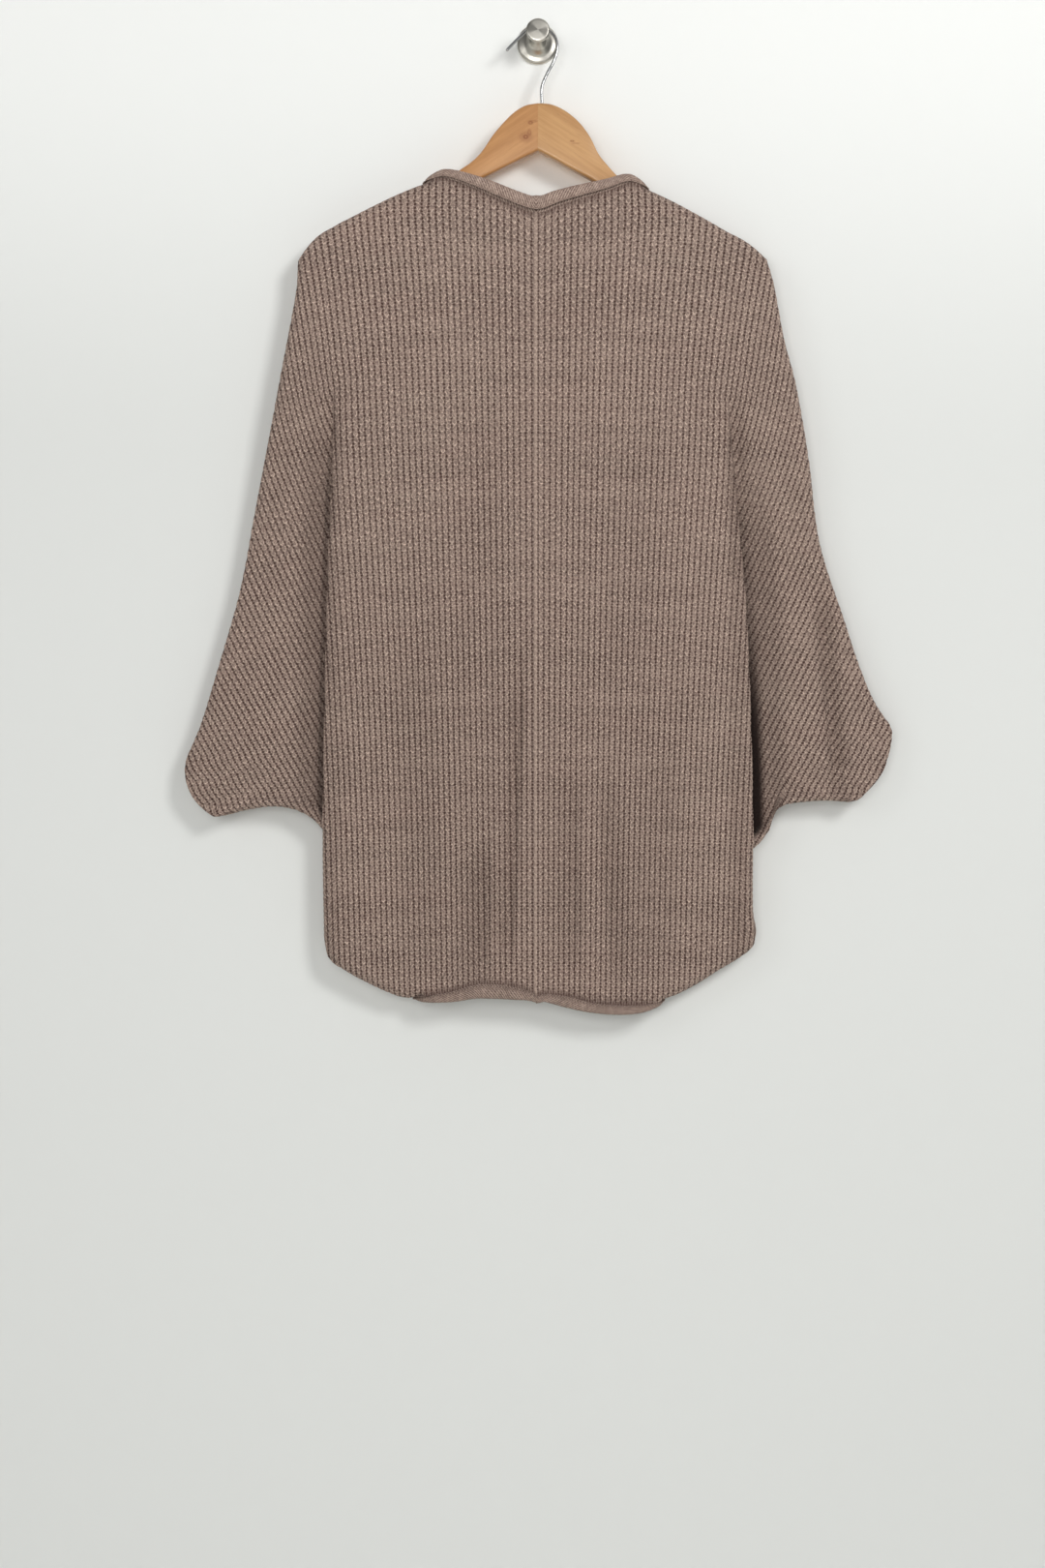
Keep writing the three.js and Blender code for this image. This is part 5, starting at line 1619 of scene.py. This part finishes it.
class CARDIGAN_OT_stage(bpy.types.Operator):
    """Make the camera, the soft lights, the pale wall and the floor"""

    bl_idname = "cardigan.stage"
    bl_label = "Stage"

    def execute(self, context):
        scene = context.scene
        settings = scene.cardigan_stage
        lens = bpy.data.cameras.new("camera")
        lens.sensor_width = SENSOR
        lens.lens = settings.lens
        lens.clip_start = 0.05
        camera = bpy.data.objects.new("camera", lens)
        scene.collection.objects.link(camera)
        camera.location = CAMERA_PLACE
        camera.rotation_euler = (math.pi / 2, 0.0, 0.0)
        scene.camera = camera

        ends = (-STAGE_WIDE, STAGE_WIDE, STAGE_WIDE, -STAGE_WIDE)
        heights = (FLOOR_LEVEL, FLOOR_LEVEL, WALL_TOP, WALL_TOP)
        depths = (FLOOR_FRONT, FLOOR_FRONT, FLOOR_BACK, FLOOR_BACK)
        wall_corners = [(x, 0, z) for x, z in zip(ends, heights)]
        floor_corners = [(x, y, FLOOR_LEVEL) for x, y in zip(ends, depths)]
        wall = make_mesh("wall", wall_corners, [(0, 1, 2, 3)], flat_faces=1)
        floor = make_mesh("floor", floor_corners, [(0, 1, 2, 3)], flat_faces=1)
        for side, paint in ((wall, "wall_paint"), (floor, "floor_paint")):
            side.data.materials.append(stage_material(paint, tuple(settings.wall_colour)))
            side.visible_shadow = False

        for name, place, size, share, target in LIGHTS:
            light = bpy.data.lights.new(name, "AREA")
            light.shape = "SQUARE"
            light.size = size
            light.energy = settings.key_power * share
            lamp = bpy.data.objects.new(name, light)
            scene.collection.objects.link(lamp)
            lamp.location = place
            aim = np.array(target) - np.array(place)
            aim = aim / np.linalg.norm(aim)
            lamp.rotation_euler = (math.acos(-aim[2]), 0.0, math.atan2(aim[1], aim[0]) - math.pi / 2)
        world = bpy.data.worlds.new("soft_room")
        world.use_nodes = True
        sky = world.node_tree.nodes["Background"]
        sky.inputs["Color"].default_value = ROOM_COLOUR
        sky.inputs["Strength"].default_value = ROOM_LIGHT
        scene.world = world
        scene.view_settings.view_transform = "Standard"
        return {"FINISHED"}


class CARDIGAN_OT_cloth(bpy.types.Operator):
    """Knit the back and front panels with their sleeves, and the rolled bands round their edges"""

    bl_idname = "cardigan.cloth"
    bl_label = "Cloth"

    def execute(self, context):
        cloth = context.scene.cardigan_cloth
        colours = [tuple(yarn) for yarn in (cloth.light_yarn, cloth.dark_yarn, cloth.warm_yarn)]
        knit = knit_material("marled_tuck_knit", colours)
        plain = band_material("marled_plain_knit", colours)
        for sizes in (LEFT, RIGHT):
            half = Half(sizes)
            weave = Weave(half)
            word = sizes["name"]
            depth = cloth.stitch_depth / MM
            back, back_shape, back_normals = make_panel(half, weave, True, depth)
            front, front_shape, front_normals = make_panel(half, weave, False, depth)
            stations = band_stations(half, back_shape, front_shape, back_normals, front_normals)
            band = make_band(half, band_path(*stations), cloth.band_depth / MM)
            for piece, node, slot in (
                (back, f"back_and_sleeve_{word}", "knit"),
                (front, f"front_and_sleeve_{word}", "knit"),
                (band, f"edge_band_{word}", "band"),
            ):
                piece.data.materials.append(plain if slot == "band" else knit)
                declare(piece, node)
        return {"FINISHED"}


class CARDIGAN_OT_hanger(bpy.types.Operator):
    """Make the two wooden arms and the wire hook"""

    bl_idname = "cardigan.hanger"
    bl_label = "Hanger"

    def execute(self, context):
        settings = context.scene.cardigan_hanger
        for word, (side, stations) in ARMS.items():
            arm = make_arm(f"wooden_arm_{word}", side, stations)
            light = tuple(settings.left_wood if side < 0 else settings.right_wood)
            dark = tuple(channel * share for channel, share in zip(light, DARK_GRAIN))
            slope = math.radians(-side * GRAIN_SLOPE)
            arm.data.materials.append(wood_material(f"beech_{word}", light, dark, slope, KNOTS[word]))
            declare(arm, f"hanger_{word}")
        hook = make_wire("wire_hook")
        hook.data.materials.append(steel_material("bright_wire", tuple(settings.wire), 0.17, False))
        declare(hook, "hook")
        return {"FINISHED"}


class CARDIGAN_OT_knob(bpy.types.Operator):
    """Make the turned steel knob on the wall"""

    bl_idname = "cardigan.knob"
    bl_label = "Wall knob"

    def execute(self, context):
        knob = make_knob("turned_knob")
        colour = tuple(context.scene.cardigan_hanger.knob)
        knob.data.materials.append(steel_material("brushed_steel", colour, 0.34, True))
        declare(knob, "wall_knob")
        return {"FINISHED"}


class CARDIGAN_PT_sidebar(bpy.types.Panel):
    """Lists the pieces of the cardigan and their sizes and colours"""

    bl_idname = "CARDIGAN_PT_sidebar"
    bl_label = "Long cardigan"
    bl_space_type = "VIEW_3D"
    bl_region_type = "UI"
    bl_category = "Cardigan"

    def draw(self, context):
        scene = context.scene
        for settings in (scene.cardigan_stage, scene.cardigan_cloth, scene.cardigan_hanger):
            box = self.layout.box()
            for key in settings.bl_rna.properties.keys():
                if key not in ("rna_type", "name"):
                    box.prop(settings, key)
        for operator in (CARDIGAN_OT_stage, CARDIGAN_OT_cloth, CARDIGAN_OT_hanger, CARDIGAN_OT_knob):
            self.layout.operator(operator.bl_idname)


CLASSES = (
    CardiganClothSettings,
    CardiganHangerSettings,
    CardiganStageSettings,
    CARDIGAN_OT_stage,
    CARDIGAN_OT_cloth,
    CARDIGAN_OT_hanger,
    CARDIGAN_OT_knob,
    CARDIGAN_PT_sidebar,
)


def register():
    for cls in CLASSES:
        bpy.utils.register_class(cls)
    bpy.types.Scene.cardigan_cloth = PointerProperty(type=CardiganClothSettings)
    bpy.types.Scene.cardigan_hanger = PointerProperty(type=CardiganHangerSettings)
    bpy.types.Scene.cardigan_stage = PointerProperty(type=CardiganStageSettings)


def unregister():
    del bpy.types.Scene.cardigan_stage
    del bpy.types.Scene.cardigan_hanger
    del bpy.types.Scene.cardigan_cloth
    for cls in reversed(CLASSES):
        bpy.utils.unregister_class(cls)


def main():
    register()
    bpy.ops.cardigan.stage()
    bpy.ops.cardigan.cloth()
    bpy.ops.cardigan.hanger()
    bpy.ops.cardigan.knob()


if __name__ == "__main__":
    main()
